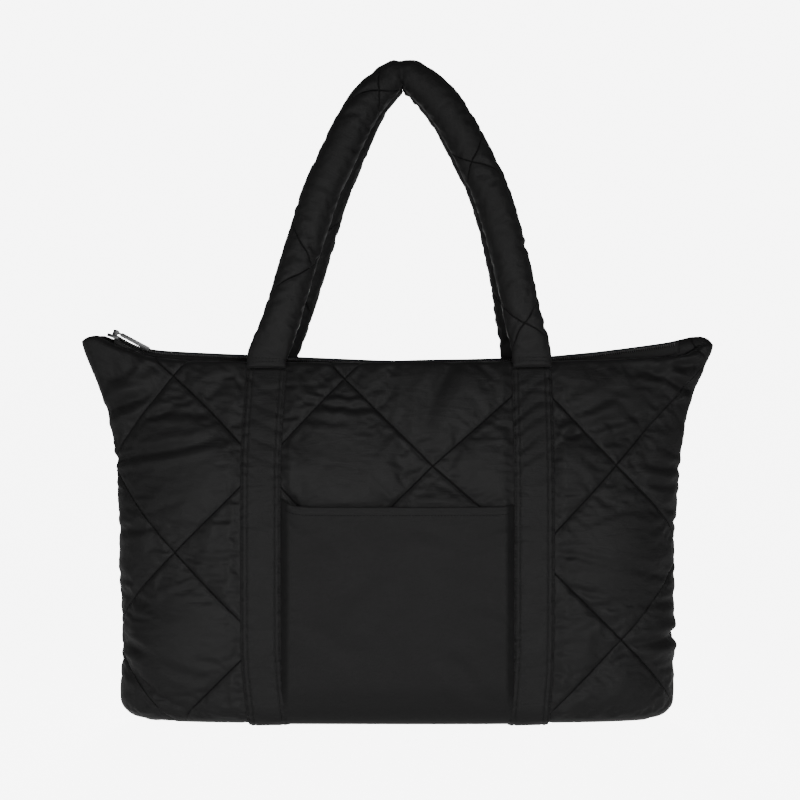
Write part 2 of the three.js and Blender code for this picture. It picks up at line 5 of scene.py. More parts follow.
import bmesh
import bpy
import numpy as np
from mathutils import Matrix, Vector


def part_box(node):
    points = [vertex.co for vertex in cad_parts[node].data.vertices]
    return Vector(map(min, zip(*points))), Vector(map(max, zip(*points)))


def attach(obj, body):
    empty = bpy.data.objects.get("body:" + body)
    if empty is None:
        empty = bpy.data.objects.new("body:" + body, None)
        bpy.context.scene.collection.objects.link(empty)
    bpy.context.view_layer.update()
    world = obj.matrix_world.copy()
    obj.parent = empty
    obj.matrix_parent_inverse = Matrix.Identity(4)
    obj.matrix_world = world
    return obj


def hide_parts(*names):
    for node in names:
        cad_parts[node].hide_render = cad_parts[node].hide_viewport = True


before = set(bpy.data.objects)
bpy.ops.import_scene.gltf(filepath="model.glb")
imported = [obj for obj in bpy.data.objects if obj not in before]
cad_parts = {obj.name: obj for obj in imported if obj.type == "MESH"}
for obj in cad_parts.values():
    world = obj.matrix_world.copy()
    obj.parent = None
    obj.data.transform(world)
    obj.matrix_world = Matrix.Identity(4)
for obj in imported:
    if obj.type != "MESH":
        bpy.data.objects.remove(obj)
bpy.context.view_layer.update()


# The quilted walls: black nylon over light filling and a lining, sewn through in diamonds and
# then to each other down the sides. The filling pushes the cloth out between the seams, and its
# spare length is taken up in short puckers beside the seams and the bands.
BODY_WIDTH, BODY_DEPTH, BODY_HEIGHT = 0.525, 0.143, 0.341
MOUTH_WIDTH, MOUTH_DEPTH = 0.608, 0.072
TIP_RISE, TIP_REACH = 0.027, 0.085
FOOT = 0.0029
FOOT_ROUND, CORNER_ROUND = 0.020, 0.015
WALL, SEAM, LINING_SEAM, LAYER = 0.006, 0.004, 0.00015, 0.0004
QUILT_PITCH, QUILT_DROP, QUILT_SHIFT, QUILT_TOP = 0.083, 0.0815, -0.0085, 0.015
GROOVE_DEEP, GROOVE_WIDE = 0.0008, 0.0019
EDGE_DEEP, EDGE_WIDE, SEAM_TURN = 0.0024, 0.0016, 0.007
PUFF, SWELL, CREEP = 0.0065, 0.0095, 0.003
PRESSURE, FRAMES, SPARE, SEAM_SPARE = 4.0, 20, 0.018, 0.038
BAND_WIDTH, BAND_THICK, BAND_DROP = 0.038, 0.0025, 0.007
BAND_SPACING = {"front": 0.256, "back": 0.240}
POCKET_HALF, POCKET_TOP = 0.1084, 0.2065
FACING = {"front": -1, "back": 1}


def table(names, rows):
    """Rows of numbers as named columns."""
    return {name: np.array(column, float) for name, column in zip(names.split(), zip(*rows))}


def fold_table(rows):
    return table("u0 v0 u1 v1 deep end wide", rows)


def read(rows, key, at, column, ease):
    """A column's value between its rows, eased over a short stretch so that no kink shows."""
    keys = rows[key]
    reach = np.clip(np.minimum(at - keys[0], keys[-1] - at), 0, ease)
    steps = (-1, -0.5, 0, 0.5, 1)
    return sum(np.interp(at + k * reach, keys, rows[column]) for k in steps) / len(steps)


PROFILE = table("height spread gather flat full", [
    (0.00, 0.00, 0.00, 4.0, 0.42),
    (0.34, 0.00, 0.00, 4.0, 0.42),
    (0.50, 0.05, 0.05, 3.8, 0.45),
    (0.61, 0.09, 0.12, 3.5, 0.50),
    (0.71, 0.16, 0.23, 3.2, 0.57),
    (0.83, 0.34, 0.47, 2.7, 0.72),
    (0.90, 0.58, 0.66, 2.4, 0.83),
    (0.96, 0.87, 0.86, 2.1, 0.94),
    (1.00, 1.00, 1.00, 2.0, 1.00),
])
MOUTH_EDGE = table("across front back", [
    (-1.000, 0.72, 0.72), (-0.965, 1.00, 1.00), (-0.930, 0.74, 0.85), (-0.870, 0.46, 0.60),
    (-0.780, 0.15, 0.40), (-0.680, 0.06, 0.33), (-0.470, 0.00, 0.22), (0.000, 0.00, 0.00),
    (0.470, 0.04, 0.15), (0.640, 0.06, 0.33), (0.760, 0.13, 0.50), (0.880, 0.17, 0.69),
    (0.940, 0.30, 0.86), (0.975, 0.70, 0.95), (1.000, 0.60, 0.60),
])
BAND_LEAN = table("up left right", [
    (0.000, 0.0080, 0.0060), (0.020, 0.0060, 0.0045), (0.060, 0.0010, 0.0010),
    (0.260, 0.0000, 0.0000), (0.345, 0.0050, 0.0010), (0.400, 0.0050, 0.0010),
])


def band_line(side, hand, z):
    """Where a band's middle lies round the wall at height z, from the wall's own middle."""
    lean = read(BAND_LEAN, "up", z, "left" if hand < 0 else "right", 0.02)
    return hand * (BAND_SPACING[side] / 2 - lean)


def drawn_in(z, radius):
    """How much the round at the foot takes off at height z."""
    below = np.clip(radius - (z - FOOT), 0, radius)
    return radius - math.sqrt(radius**2 - below**2)


def plan(z, inset=0.0, edge=SEAM):
    """The body's plan at height z, from the middle of one side to the seam, with its length."""
    share = np.clip((z - FOOT) / (BODY_HEIGHT - FOOT), 0, 1)
    spread, gather, flat, full = (
        read(PROFILE, "height", share, column, 0.04) for column in ("spread", "gather", "flat", "full")
    )
    width = (BODY_WIDTH + (MOUTH_WIDTH - BODY_WIDTH) * spread) / 2 - drawn_in(z, CORNER_ROUND) - inset
    depth = (BODY_DEPTH + (MOUTH_DEPTH - BODY_DEPTH) * gather) / 2 - drawn_in(z, FOOT_ROUND) - inset
    across = np.sin(np.linspace(0, math.pi / 2, 241))
    x = width * across
    y = edge + (depth - edge) * np.maximum(0, 1 - across**flat) ** full
    length = np.concatenate(([0], np.cumsum(np.hypot(np.diff(x), np.diff(y)))))
    return x, y, length


def quilt_arcs(side, columns, half):
    """How far round the wall the quilting's columns lie."""
    band = BAND_SPACING[side] / 2
    knots = [-half, -(band + half) / 2, -band, QUILT_SHIFT - QUILT_PITCH / 2,
             QUILT_SHIFT + QUILT_PITCH / 2, band, (band + half) / 2, half]
    return np.interp(columns, np.arange(-3, 5), knots)


def lift(side, across, z):
    """How far the mouth's edge and its two tips stand above a level line."""
    fade = np.clip(1 - (BODY_HEIGHT - z) / TIP_REACH, 0, 1) ** 1.5
    return TIP_RISE * fade * read(MOUTH_EDGE, "across", np.clip(across, -1, 1), side, 0.02)


def skin(side, heights, arcs_at):
    """Points of the wall at the bottom of its quilting: a row for each height, mouth first."""
    rows = []
    for z in heights:
        x, y, length = plan(z)
        arcs = arcs_at(length[-1], z)
        px = np.sign(arcs) * np.interp(np.abs(arcs), length, x)
        py = FACING[side] * np.interp(np.abs(arcs), length, y)
        rows.append(np.column_stack((px, py, z + lift(side, px / x[-1], z))))
    return np.array(rows)


def unit(vectors):
    return vectors / np.maximum(np.linalg.norm(vectors, axis=-1, keepdims=True), 1e-12)


def out_by(normals, heights):
    return normals * heights[..., None]


def outward(points, sign=-1):
    """Normals of a grid of points whose rows run from the front mouth down and round."""
    return sign * unit(np.cross(np.gradient(points, axis=1), np.gradient(points, axis=0)))


def quilt_row(z):
    return (BODY_HEIGHT - QUILT_TOP - z) / QUILT_DROP


def pillow(column, row):
    return np.sqrt(np.abs(np.sin(np.pi * (column + row) / 2) * np.sin(np.pi * (column - row) / 2)))


def seam_distance(column, row):
    """Metres from a point of the lattice to the nearest quilting seam."""
    off = [np.abs(v / 2 - np.round(v / 2)) for v in (column + row, column - row)]
    return np.minimum(*off) * math.sqrt(2) * QUILT_PITCH


def bell(offset, wide):
    """1 on a line, falling smoothly to 0 beside it."""
    return np.exp(-((offset / wide) ** 2))


def soft_step(value, low, high):
    t = np.clip((value - low) / (high - low), 0, 1)
    return t * t * (3 - 2 * t)


def creased(u, v, folds):
    """Depth of the folds at u, v. Each runs from u0, v0 to u1, v1 between two soft shoulders."""
    total = np.zeros(np.broadcast(u, v).shape)
    for u0, v0, u1, v1, deep, end, wide in zip(*folds.values()):
        du, dv = u1 - u0, v1 - v0
        long = math.hypot(du, dv)
        along = ((u - u0) * du + (v - v0) * dv) / long
        aside = ((v - v0) * du - (u - u0) * dv) / long
        aside = aside + 0.12 * long * np.sin(2.2 * along / long) ** 2 * (0.3 + 0.7 * end) - 0.05 * long
        beyond = np.maximum(np.maximum(-along, along - long), 0)
        share = np.clip(along / long, 0, 1)
        fade = (1 + (end - 1) * share) * bell(beyond, 1.6 * wide)
        shoulder = bell(np.abs(aside) - 2.1 * wide, 1.1 * wide)
        total += deep * fade * (0.5 * shoulder - bell(aside, wide))
    return total


def distances(points):
    """How far along a line each of its points lies."""
    return np.concatenate(([0], np.cumsum(np.linalg.norm(np.diff(points, axis=0), axis=1))))


def refined(grid):
    """Doubles a grid's rows and columns along smooth curves."""
    for axis in (0, 1):
        g = np.moveaxis(grid, axis, 0)
        wide = np.concatenate((2 * g[:1] - g[1:2], g, 2 * g[-1:] - g[-2:-1]))
        full = np.empty((2 * len(g) - 1,) + g.shape[1:])
        full[::2] = g
        full[1::2] = (9 * (g[:-1] + g[1:]) - wide[:-3] - wide[3:]) / 16
        grid = np.moveaxis(full, 0, axis)
    return grid


def grid_faces(rows, columns, start=0):
    corner = start + np.arange(rows - 1)[:, None] * columns + np.arange(columns - 1)[None, :]
    return np.stack((corner, corner + 1, corner + columns + 1, corner + columns), -1).reshape(-1, 4)


def ring_faces(rows, columns):
    """Faces that join the last column of a grid to its first."""
    first = np.arange(rows - 1) * columns
    return np.stack((first + columns - 1, first, first + columns, first + 2 * columns - 1), -1)


def rim_of(rows, columns, start=0):
    index = start + np.arange(rows * columns).reshape(rows, columns)
    return np.concatenate((index[0], index[1:, -1], index[-1, -2::-1], index[-2:0:-1, 0]))


def in_scene(name, data):
    made = bpy.data.objects.new(name, data)
    bpy.context.scene.collection.objects.link(made)
    return made


def select_only(piece):
    bpy.ops.object.select_all(action="DESELECT")
    bpy.context.view_layer.objects.active = piece
    piece.select_set(True)


def soft_piece(name, points, faces, charted):
    """A smooth mesh of cloth, with a map of the flat cloth in metres."""
    mesh = bpy.data.meshes.new(name)
    mesh.from_pydata(points.reshape(-1, 3).tolist(), [], [list(face) for face in faces])
    turned = bmesh.new()
    turned.from_mesh(mesh)
    bmesh.ops.recalc_face_normals(turned, faces=turned.faces[:])
    turned.to_mesh(mesh)
    turned.free()
    chart = mesh.uv_layers.new(name="cloth")
    corners = np.zeros(len(mesh.loops), int)
    mesh.loops.foreach_get("vertex_index", corners)
    chart.data.foreach_set("uv", charted.reshape(-1, 2)[corners].astype(np.float32).ravel())
    mesh.shade_smooth()
    return in_scene(name, mesh)


def padded_shell(name, face, lining, face_chart, lining_chart):
    """Closes a face grid against a coarser lining grid, whose border it meets point for point."""
    rows, columns = face.shape[:2]
    back_rows, back_columns = lining.shape[:2]
    ratio = (rows - 1) // (back_rows - 1)
    start = rows * columns
    faces = list(grid_faces(rows, columns)) + list(grid_faces(back_rows, back_columns, start)[:, ::-1])
    rim, inner = rim_of(rows, columns), rim_of(back_rows, back_columns, start)
    for k in range(len(inner)):
        run = [rim[(k * ratio + n) % len(rim)] for n in range(ratio + 1)]
        faces.append([*run, inner[(k + 1) % len(inner)], inner[k]])
    points = np.concatenate((face.reshape(-1, 3), lining.reshape(-1, 3)))
    charts = np.concatenate((face_chart.reshape(-1, 2), lining_chart.reshape(-1, 2)))
    return soft_piece(name, points, faces, charts)


def mark_quilting(piece, columns, rows):
    """Stores where each point of a piece lies among the quilt's diamonds."""
    marks = piece.data.attributes.new("quilt", "FLOAT_VECTOR", "POINT")
    marks.data.foreach_set("vector", np.stack((columns, rows, 0 * rows), -1).astype(np.float32).ravel())


def dressed(piece, finish, node=None, body="bag"):
    """Gives a piece its finish and its body, and hides the CAD node that it stands for."""
    piece.data.materials.append(finish)
    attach(piece, body)
    if node:
        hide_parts(node)


def filled_out(points, sewn, gathered, spare, gathered_spare, closed=False):
    """Lets filling push a grid of cloth out between its sewn points, and gives the grid back."""
    rows, columns = points.shape[:2]
    faces = grid_faces(rows, columns)
    if closed:
        faces = np.concatenate((faces, ring_faces(rows, columns)))
    mesh = bpy.data.meshes.new("cloth_at_work")
    mesh.from_pydata(points.reshape(-1, 3).tolist(), [], faces.tolist())
    cloth = in_scene("cloth_at_work", mesh)
    for group_name, weights in (("sewn", sewn), ("gathered", gathered)):
        group = cloth.vertex_groups.new(name=group_name)
        flat = np.round(weights.ravel(), 2)
        for weight in np.unique(flat[flat > 0]):
            group.add(np.flatnonzero(flat == weight).tolist(), float(weight), "REPLACE")
    work = cloth.modifiers.new("Cloth", "CLOTH")
    setting = work.settings
    setting.vertex_group_mass = "sewn"
    setting.vertex_group_shrink = "gathered"
    setting.shrink_min, setting.shrink_max = -spare, -gathered_spare
    setting.use_pressure = True
    setting.uniform_pressure_force = PRESSURE
    setting.effector_weights.gravity = 0
    setting.quality = 5
    setting.mass = 0.15
    setting.bending_stiffness = 0.05
    work.collision_settings.use_collision = False
    work.point_cache.frame_end = FRAMES
    for number in range(1, FRAMES + 1):
        bpy.context.scene.frame_set(number)
    select_only(cloth)
    bpy.ops.object.modifier_apply(modifier=work.name)
    moved = np.zeros(rows * columns * 3)
    cloth.data.vertices.foreach_get("co", moved)
    bpy.data.objects.remove(cloth)
    bpy.data.meshes.remove(mesh)
    bpy.context.scene.frame_set(1)
    return moved.reshape(rows, columns, 3)


def held_near(worked, base, normal, most_out, most_aside):
    """Simulated cloth with no point further from its base than the filling and seams allow."""
    shift = worked - base
    out = (shift * normal).sum(-1)
    aside = shift - out_by(normal, out)
    aside *= np.minimum(1, most_aside / np.maximum(np.linalg.norm(aside, axis=-1, keepdims=True), 1e-9))
    return base + aside + out_by(normal, most_out * np.tanh(out / most_out))


# A grid of points for each wall: CELLS to each half diamond, finer round the foot.
CELLS = 22
quilt_columns = np.linspace(-3, 4, 7 * CELLS + 1)
wall_heights = BODY_HEIGHT - QUILT_TOP - np.arange(-4, 82) * QUILT_DROP / CELLS
wall_heights[0] = BODY_HEIGHT
round_foot = FOOT + FOOT_ROUND * (1 - np.cos(np.radians(np.linspace(90, 0, 9))))
wall_heights = np.concatenate((wall_heights, round_foot))
columns_2d, heights_2d = np.meshgrid(quilt_columns, wall_heights)
rows_2d = quilt_row(heights_2d)
chance = np.random.default_rng(11)


def on_grid(grid, row, column):
    """Points of a grid at fractional rows and columns."""
    r = np.clip(row, 0, grid.shape[0] - 1.001)
    c = np.clip(column, 0, grid.shape[1] - 1.001)
    r0, c0 = r.astype(int), c.astype(int)
    fr, fc = (r - r0)[:, None], (c - c0)[:, None]
    top = grid[r0, c0] * (1 - fc) + grid[r0, c0 + 1] * fc
    low = grid[r0 + 1, c0] * (1 - fc) + grid[r0 + 1, c0 + 1] * fc
    return top * (1 - fr) + low * fr


def run_on(grid, normals, row, column):
    return on_grid(grid, row, column), unit(on_grid(normals, row, column))


def puckers(count, u_low, u_high, v, reach, deep, wide, tilt):
    """Short folds that run from a seam at v along u, spread evenly between u_low and u_high."""
    rows = []
    for k in range(count):
        u = u_low + (u_high - u_low) * (k + 0.5 + chance.uniform(-0.35, 0.35)) / count
        long = reach * chance.uniform(0.5, 1.3)
        slope = chance.uniform(-tilt, tilt)
        size = chance.uniform(0.35, 1.0)
        rows.append((v, u, v + long, u + slope * long, deep * size, 0.15, wide * chance.uniform(0.8, 1.3)))
    return rows


def wall_folds(side, arcs_seam):
    """The short folds beside the bands and the side seams, in arcs and heights."""
    rows = []
    for hand in (-1, 1):
        for way in (-1, 1):
            edge = hand * BAND_SPACING[side] / 2 + way * BAND_WIDTH / 2
            inner = way == -hand
            if side == "front" and inner:
                rows += puckers(9, 0.215, 0.325, edge, way * 0.018, 0.0012, 0.0026, 0.25)
            else:
                rows += puckers(26, 0.030, 0.325, edge, way * 0.024, 0.0014, 0.0028, 0.25)
        rows += puckers(11, 0.035, 0.330, hand * arcs_seam, -hand * 0.055, 0.0010, 0.0036, 0.22)
    return fold_table(rows)


# u: across, v: up, in metres on the front of the bag
FRONT_FOLDS = fold_table([
    (-0.272, 0.294, -0.228, 0.316, 0.0060, 0.40, 0.0055),
    (-0.263, 0.244, -0.172, 0.268, 0.0050, 0.25, 0.0042),
    (-0.262, 0.256, -0.206, 0.264, 0.0022, 0.30, 0.0034),
    (-0.232, 0.288, -0.170, 0.296, 0.0018, 0.40, 0.0036),
    (-0.255, 0.180, -0.200, 0.190, 0.0020, 0.30, 0.0040),
    (-0.222, 0.163, -0.160, 0.156, 0.0016, 0.60, 0.0030),
    (-0.252, 0.116, -0.194, 0.104, 0.0024, 0.30, 0.0042),
    (-0.250, 0.070, -0.185, 0.047, 0.0030, 0.30, 0.0045),
    (-0.248, 0.043, -0.205, 0.020, 0.0022, 0.50, 0.0040),
    (0.156, 0.283, 0.205, 0.312, 0.0024, 0.50, 0.0050),
    (0.168, 0.270, 0.240, 0.300, 0.0028, 0.45, 0.0055),
    (0.186, 0.262, 0.252, 0.284, 0.0022, 0.60, 0.0050),
    (0.297, 0.343, 0.252, 0.331, 0.0040, 0.50, 0.0042),
    (0.281, 0.317, 0.232, 0.334, 0.0048, 0.30, 0.0042),
    (0.258, 0.242, 0.215, 0.247, 0.0026, 0.30, 0.0040),
    (0.256, 0.225, 0.226, 0.226, 0.0024, 0.40, 0.0038),
    (0.257, 0.205, 0.190, 0.196, 0.0018, 0.50, 0.0040),
    (0.256, 0.142, 0.200, 0.150, 0.0022, 0.40, 0.0040),
    (0.256, 0.117, 0.190, 0.112, 0.0018, 0.50, 0.0036),
    (0.259, 0.084, 0.206, 0.072, 0.0052, 0.25, 0.0048),
    (0.160, 0.160, 0.205, 0.154, 0.0016, 0.40, 0.0030),
    (0.162, 0.128, 0.214, 0.121, 0.0016, 0.40, 0.0030),
    (0.048, 0.340, 0.027, 0.283, 0.0032, 0.60, 0.0080),
    (-0.084, 0.299, -0.016, 0.302, 0.0020, 0.80, 0.0034),
    (-0.072, 0.309, -0.035, 0.312, 0.0014, 0.80, 0.0028),
    (-0.097, 0.291, -0.050, 0.285, 0.0014, 0.60, 0.0036),
])


def under_pocket(arcs, heights, margin):
    return (np.abs(arcs) < POCKET_HALF + margin) & (heights < POCKET_TOP + 0.0025)


class Cloth_wall:
    """One quilted wall: its finished face grid, its normals, and the rows and columns they lie on."""

    def __init__(self, side):
        self.side, self.facing = side, FACING[side]
        arcs_at = lambda half, z: quilt_arcs(side, quilt_columns, half)
        base = skin(side, wall_heights, arcs_at)
        normal = outward(base, self.facing)
        halves = np.array([plan(z)[2][-1] for z in wall_heights])[:, None]
        arcs = np.array([arcs_at(half, None) for half in halves[:, 0]])
        lines = [band_line(side, hand, heights_2d) for hand in (-1, 1)]
        from_band = np.minimum(*(np.abs(arcs - line) for line in lines)) - BAND_WIDTH / 2
        from_seam = halves - np.abs(arcs)
        grid = refined(self.filled(base, normal, arcs, from_band, from_seam))
        base, normal = refined(base), unit(refined(normal))
        coarse = (arcs, columns_2d, heights_2d, from_band, from_seam)
        fine = [refined(values[..., None])[..., 0] for values in coarse]
        self.arcs, self.columns, self.heights, from_band, from_seam = fine
        grid = grid + out_by(normal, self.relief(base, from_band, float(halves.mean())))
        below_mouth = BODY_HEIGHT - self.heights
        grid = grid + out_by(normal, -EDGE_DEEP * bell(below_mouth, EDGE_WIDE))
        closing = np.clip(1 - from_seam / SEAM_TURN, 0, 1) ** 2
        grid[..., 1] += (self.facing * 0.0002 - grid[..., 1]) * closing
        pull = 0.0003 + 0.0013 * soft_step(below_mouth, 0.0, 0.05)
        grid[..., 0] -= np.sign(base[..., 0]) * closing * pull
        self.grid, self.normal = grid, outward(grid, self.facing)
        self.height_line = self.heights[:, 0]

    def filled(self, base, normal, arcs, from_band, from_seam):
        """The face pushed out by its filling, and held at its seams and under what is sewn on it."""
        foot_share = soft_step(heights_2d, FOOT + 0.002, FOOT + 2 * FOOT_ROUND)
        open_cloth = foot_share * soft_step(from_band, -0.0005, 0.012)
        start = base + out_by(normal, 0.55 * PUFF * pillow(columns_2d, rows_2d) * open_cloth)
        ripple = chance.normal(0, 1, heights_2d.shape)
        for _ in range(2):
            ripple[:, 1:-1] = (ripple[:, :-2] + 2 * ripple[:, 1:-1] + ripple[:, 2:]) / 4
        free = (seam_distance(columns_2d, rows_2d) > 0.0012) & (from_band > 0.0004) & (from_seam > 0.001)
        free &= (heights_2d < BODY_HEIGHT - 0.002) & (heights_2d > FOOT + 0.006)
        start += out_by(normal, 0.0004 * ripple * free)
        worked = start
        gathered = np.maximum(bell(from_band, 0.030), 0.6 * bell(from_seam, 0.045))
        turn = slice(None, None, self.facing)
        sewn, pulled = 1.0 - free[:, turn], gathered[:, turn]
        worked = filled_out(start[:, turn], sewn, pulled, SPARE, SEAM_SPARE)[:, turn]
        limit = SWELL - 0.005 * soft_step(heights_2d, BODY_HEIGHT - 0.016, BODY_HEIGHT)
        limit *= 0.3 + 0.7 * soft_step(from_seam, 0.0, 0.060)
        if self.side == "front":
            below = 0.88 * PUFF * soft_step(heights_2d, FOOT, FOOT + 2 * FOOT_ROUND)
            below *= soft_step(POCKET_HALF - 0.0009 - np.abs(arcs), 0.0, 0.008)
            limit = np.where(under_pocket(arcs, heights_2d, 0.0011), np.maximum(below, 0.0001), limit)
        return held_near(worked, base, normal, limit, CREEP)

    def relief(self, base, from_band, half):
        """How far the quilting's grooves, the folds and the slow waves move the finished face."""
        seams = seam_distance(self.columns, quilt_row(self.heights))
        cloth_share = soft_step(self.heights, FOOT + 0.001, FOOT + 0.018) * soft_step(from_band, 0.0, 0.004)
        puckered = creased(self.arcs, self.heights, wall_folds(self.side, half))
        relief = -GROOVE_DEEP * bell(seams, GROOVE_WIDE) + puckered * soft_step(seams, 0.0, 0.010)
        if self.side == "front":
            relief += creased(base[..., 0], base[..., 2], FRONT_FOLDS) * soft_step(seams, -0.004, 0.008)
        waves = np.sin(41 * self.arcs + 1.3) * np.sin(57 * self.heights + 0.4)
        relief += 0.0007 * (waves + 0.6 * np.sin(95 * self.heights + 23 * self.arcs))
        if self.side == "front":
            relief = np.where(under_pocket(self.arcs, self.heights, 0.0006), np.minimum(relief, 0), relief)
        return relief * cloth_share

    def at(self, columns, heights):
        """Points and normals of the finished face at columns and heights."""
        row = np.interp(-heights, -self.height_line, np.arange(len(self.height_line)))
        column = (columns + 3) * 2 * CELLS
        return run_on(self.grid, self.normal, row, column)

    def lining(self):
        """The wall's inner face, sewn through in the same diamonds, on every fourth row and column."""
        heights, columns = self.height_line[::4], quilt_columns[::2]
        lift_share = (BODY_HEIGHT - FOOT - WALL) / (BODY_HEIGHT - FOOT)
        rows = []
        for z in heights:
            x, y, length = plan(z, WALL, LINING_SEAM)
            half = plan(z)[2][-1]
            arcs = quilt_arcs(self.side, columns, half) * length[-1] / half
            px = np.sign(arcs) * np.interp(np.abs(arcs), length, x)
            py = self.facing * np.interp(np.abs(arcs), length, y)
            pz = FOOT + WALL + (z - FOOT) * lift_share + lift(self.side, px / x[-1], z)
            rows.append(np.column_stack((px, py, pz)))
        grid = np.array(rows)
        c, h = np.meshgrid(columns, heights)
        depth = 0.0028 * pillow(c, quilt_row(h)) * soft_step(h, 0.02, 0.05)
        depth *= soft_step(BODY_HEIGHT - h, 0.0, 0.03)
        depth *= soft_step(3.5 - np.abs(c - 0.5), 0.0, 0.6)
        grid = grid - out_by(outward(grid, self.facing), depth)
        return grid, np.stack((quilt_arcs(self.side, columns, 0.31)[None, :] + 0 * h, h), -1)


class Value:
    """A socket of a material. Sums, differences and products of it add Math nodes."""

    def __init__(self, tree, socket=None):
        self.tree, self.socket = tree, socket

    def node(self, kind, settings=None, sockets=None, output=0):
        made = self.tree.nodes.new("ShaderNode" + kind)
        for name, value in (settings or {}).items():
            setattr(made, name, value)
        for name, value in (sockets or {}).items():
            if isinstance(value, Value):
                self.tree.links.new(value.socket, made.inputs[name])
            else:
                made.inputs[name].default_value = value
        return Value(self.tree, made.outputs[output] if made.outputs else None)

    def worked(self, operation, first, second=0.0):
        return self.node("Math", {"operation": operation}, {0: first, 1: second})

    def __add__(self, other):
        return self.worked("ADD", self, other)

    def __sub__(self, other):
        return self.worked("SUBTRACT", self, other)

    def __rsub__(self, other):
        return self.worked("SUBTRACT", other, self)

    def __mul__(self, other):
        return self.worked("MULTIPLY", self, other)


def new_finish(name):
    material = bpy.data.materials.new(name)
    material.use_nodes = True
    material.node_tree.nodes.clear()
    return material, Value(material.node_tree)


def tint(value, share, dark, light):
    return value.node("Mix", {"data_type": "RGBA"}, {0: share, 6: (*dark, 1), 7: (*light, 1)}, 2)


def noise(value, at, scale, detail, rough=0.5, twist=0.0):
    sockets = {"Vector": at, "Scale": scale, "Detail": detail, "Roughness": rough, "Distortion": twist}
    return value.node("TexNoise", None, sockets)


def bumps(value, height):
    return value.node("Bump", None, {"Height": height, "Distance": 1.0, "Strength": 1.0})


def first_two(value, vector):
    return [value.node("SeparateXYZ", None, {0: vector}, k) for k in (0, 1)]


def surface(value, sockets):
    shader = value.node("BsdfPrincipled", None, sockets)
    value.node("OutputMaterial", None, {"Surface": shader})


# the yarn's spacing in metres, and half a needle row's width in columns of the quilt
YARN, NEEDLE_ROW = 0.00042, 0.021


def nylon(name, dark, light, rough, crinkle, quilted=False):
    """Woven nylon with a dull satin face: fine threads, soft crinkles and rubbed, unevenly dyed colour.

    On quilted cloth the needle rows sink in, along the lines where columns plus or minus rows are even, and
    their colour is darkened toward near-black as painted shade."""
    material, value = new_finish(name)
    chart = value.node("UVMap", {"uv_map": "cloth"})
    stretched = value.node("VectorMath", {"operation": "MULTIPLY"}, {0: chart, 1: (26, 120, 1)})
    across, up = first_two(value, chart)
    warp = value.worked("SINE", across * (2 * math.pi / YARN))
    weft = value.worked("SINE", up * (2 * math.pi / YARN))
    ripples = noise(value, stretched, 1.0, 3.0, 0.55, 0.8)
    crumple = noise(value, chart, 85.0, 5.0, 0.55, 0.9)
    rubbed = noise(value, chart, 22.0, 4.0, 0.55)
    specks = noise(value, chart, 900.0, 2.0, 0.55)
    height = warp * weft * 0.000012 + ripples * (0.0011 * crinkle) + crumple * (0.0007 * crinkle)
    dye_and_groove_shade = tint(value, rubbed * 0.8 + specks * 0.2, dark, light)
    if quilted:
        column, row = first_two(value, value.node("Attribute", {"attribute_name": "quilt"}, None, 1))
        in_groove = []
        for line in (column + row, column - row):
            from_line = value.worked("PINGPONG", line, 1.0)
            in_groove.append(value.worked("MAXIMUM", 1 - from_line * (1 / NEEDLE_ROW), 0.0))
        groove = value.worked("MAXIMUM", *in_groove)
        height = height - groove * groove * 0.0007
        # the colour in the sunken needle rows is mixed toward near-black: painted shade in the grooves
        sockets = {0: groove * 0.8, 6: dye_and_groove_shade, 7: (0.0006, 0.0006, 0.0006, 1)}
        dye_and_groove_shade = value.node("Mix", {"data_type": "RGBA"}, sockets, 2)
    surface(value, {
        "Base Color": dye_and_groove_shade,
        "Roughness": rubbed * 0.16 + specks * 0.06 + (rough - 0.11),
        "Normal": bumps(value, height),
        "Specular IOR Level": 0.10,
        "Sheen Weight": 0.015,
        "Sheen Roughness": 0.4,
    })
    return material


quilted_nylon = nylon(
    "quilted black nylon", (0.0030, 0.0030, 0.0031), (0.0052, 0.0051, 0.0051), 0.62, 0.5, quilted=True)

walls = {}
for side in ("front", "back"):
    wall = walls[side] = Cloth_wall(side)
    face = wall.grid.copy()
    inner, inner_chart = wall.lining()
    panel = padded_shell(side + "_wall", face, inner, np.stack((wall.arcs, wall.heights), -1), inner_chart)
    dressed(panel, quilted_nylon, side + "_panel")
    inner_columns, inner_rows = np.meshgrid(quilt_columns[::2], quilt_row(wall.height_line[::4]))
    mark_quilting(panel, np.concatenate((wall.columns.ravel(), inner_columns.ravel())),
                  np.concatenate((quilt_row(wall.heights).ravel(), inner_rows.ravel())))


# The quilting thread: polyester, one row of lockstitches along each seam of the diamonds. A
# stitch is a short thread that dips into the cloth at both ends, and every row is made of it.
STITCH_FORM = [(-0.5, 0.2, -0.9), (-0.3, 0.9, 0.35), (0.0, 1.0, 0.55), (0.3, 0.9, 0.35), (0.5, 0.2, -0.9)]


def threads(name, centres, longs, ups, length, radius, sides=4):
    """Short rounded strands at many places, all of one form, as one mesh."""
    ups = unit(ups - longs * (ups * longs).sum(-1, keepdims=True))
    acrosses = np.cross(longs, ups)
    points = []
    for along, thick, rise in STITCH_FORM:
        for k in range(sides):
            turn = 2 * math.pi * k / sides
            asides = acrosses * (radius * thick * math.cos(turn))
            outwards = ups * (radius * (rise + thick * math.sin(turn)))
            points.append(centres + longs * (along * length) + asides + outwards)
    points = np.stack(points, 1).reshape(-1, 3)
    rings = len(STITCH_FORM)
    one = [[r * sides + k, r * sides + after, (r + 1) * sides + after, (r + 1) * sides + k]
           for r in range(rings - 1) for k, after in zip(range(sides), [*range(1, sides), 0])]
    one += [list(range(sides))[::-1], [(rings - 1) * sides + k for k in range(sides)]]
    firsts = range(0, len(centres) * rings * sides, rings * sides)
    faces = [[corner + first for corner in face] for first in firsts for face in one]
    mesh = bpy.data.meshes.new(name)
    mesh.from_pydata(points.tolist(), [], faces)
    mesh.shade_smooth()
    return in_scene(name, mesh)


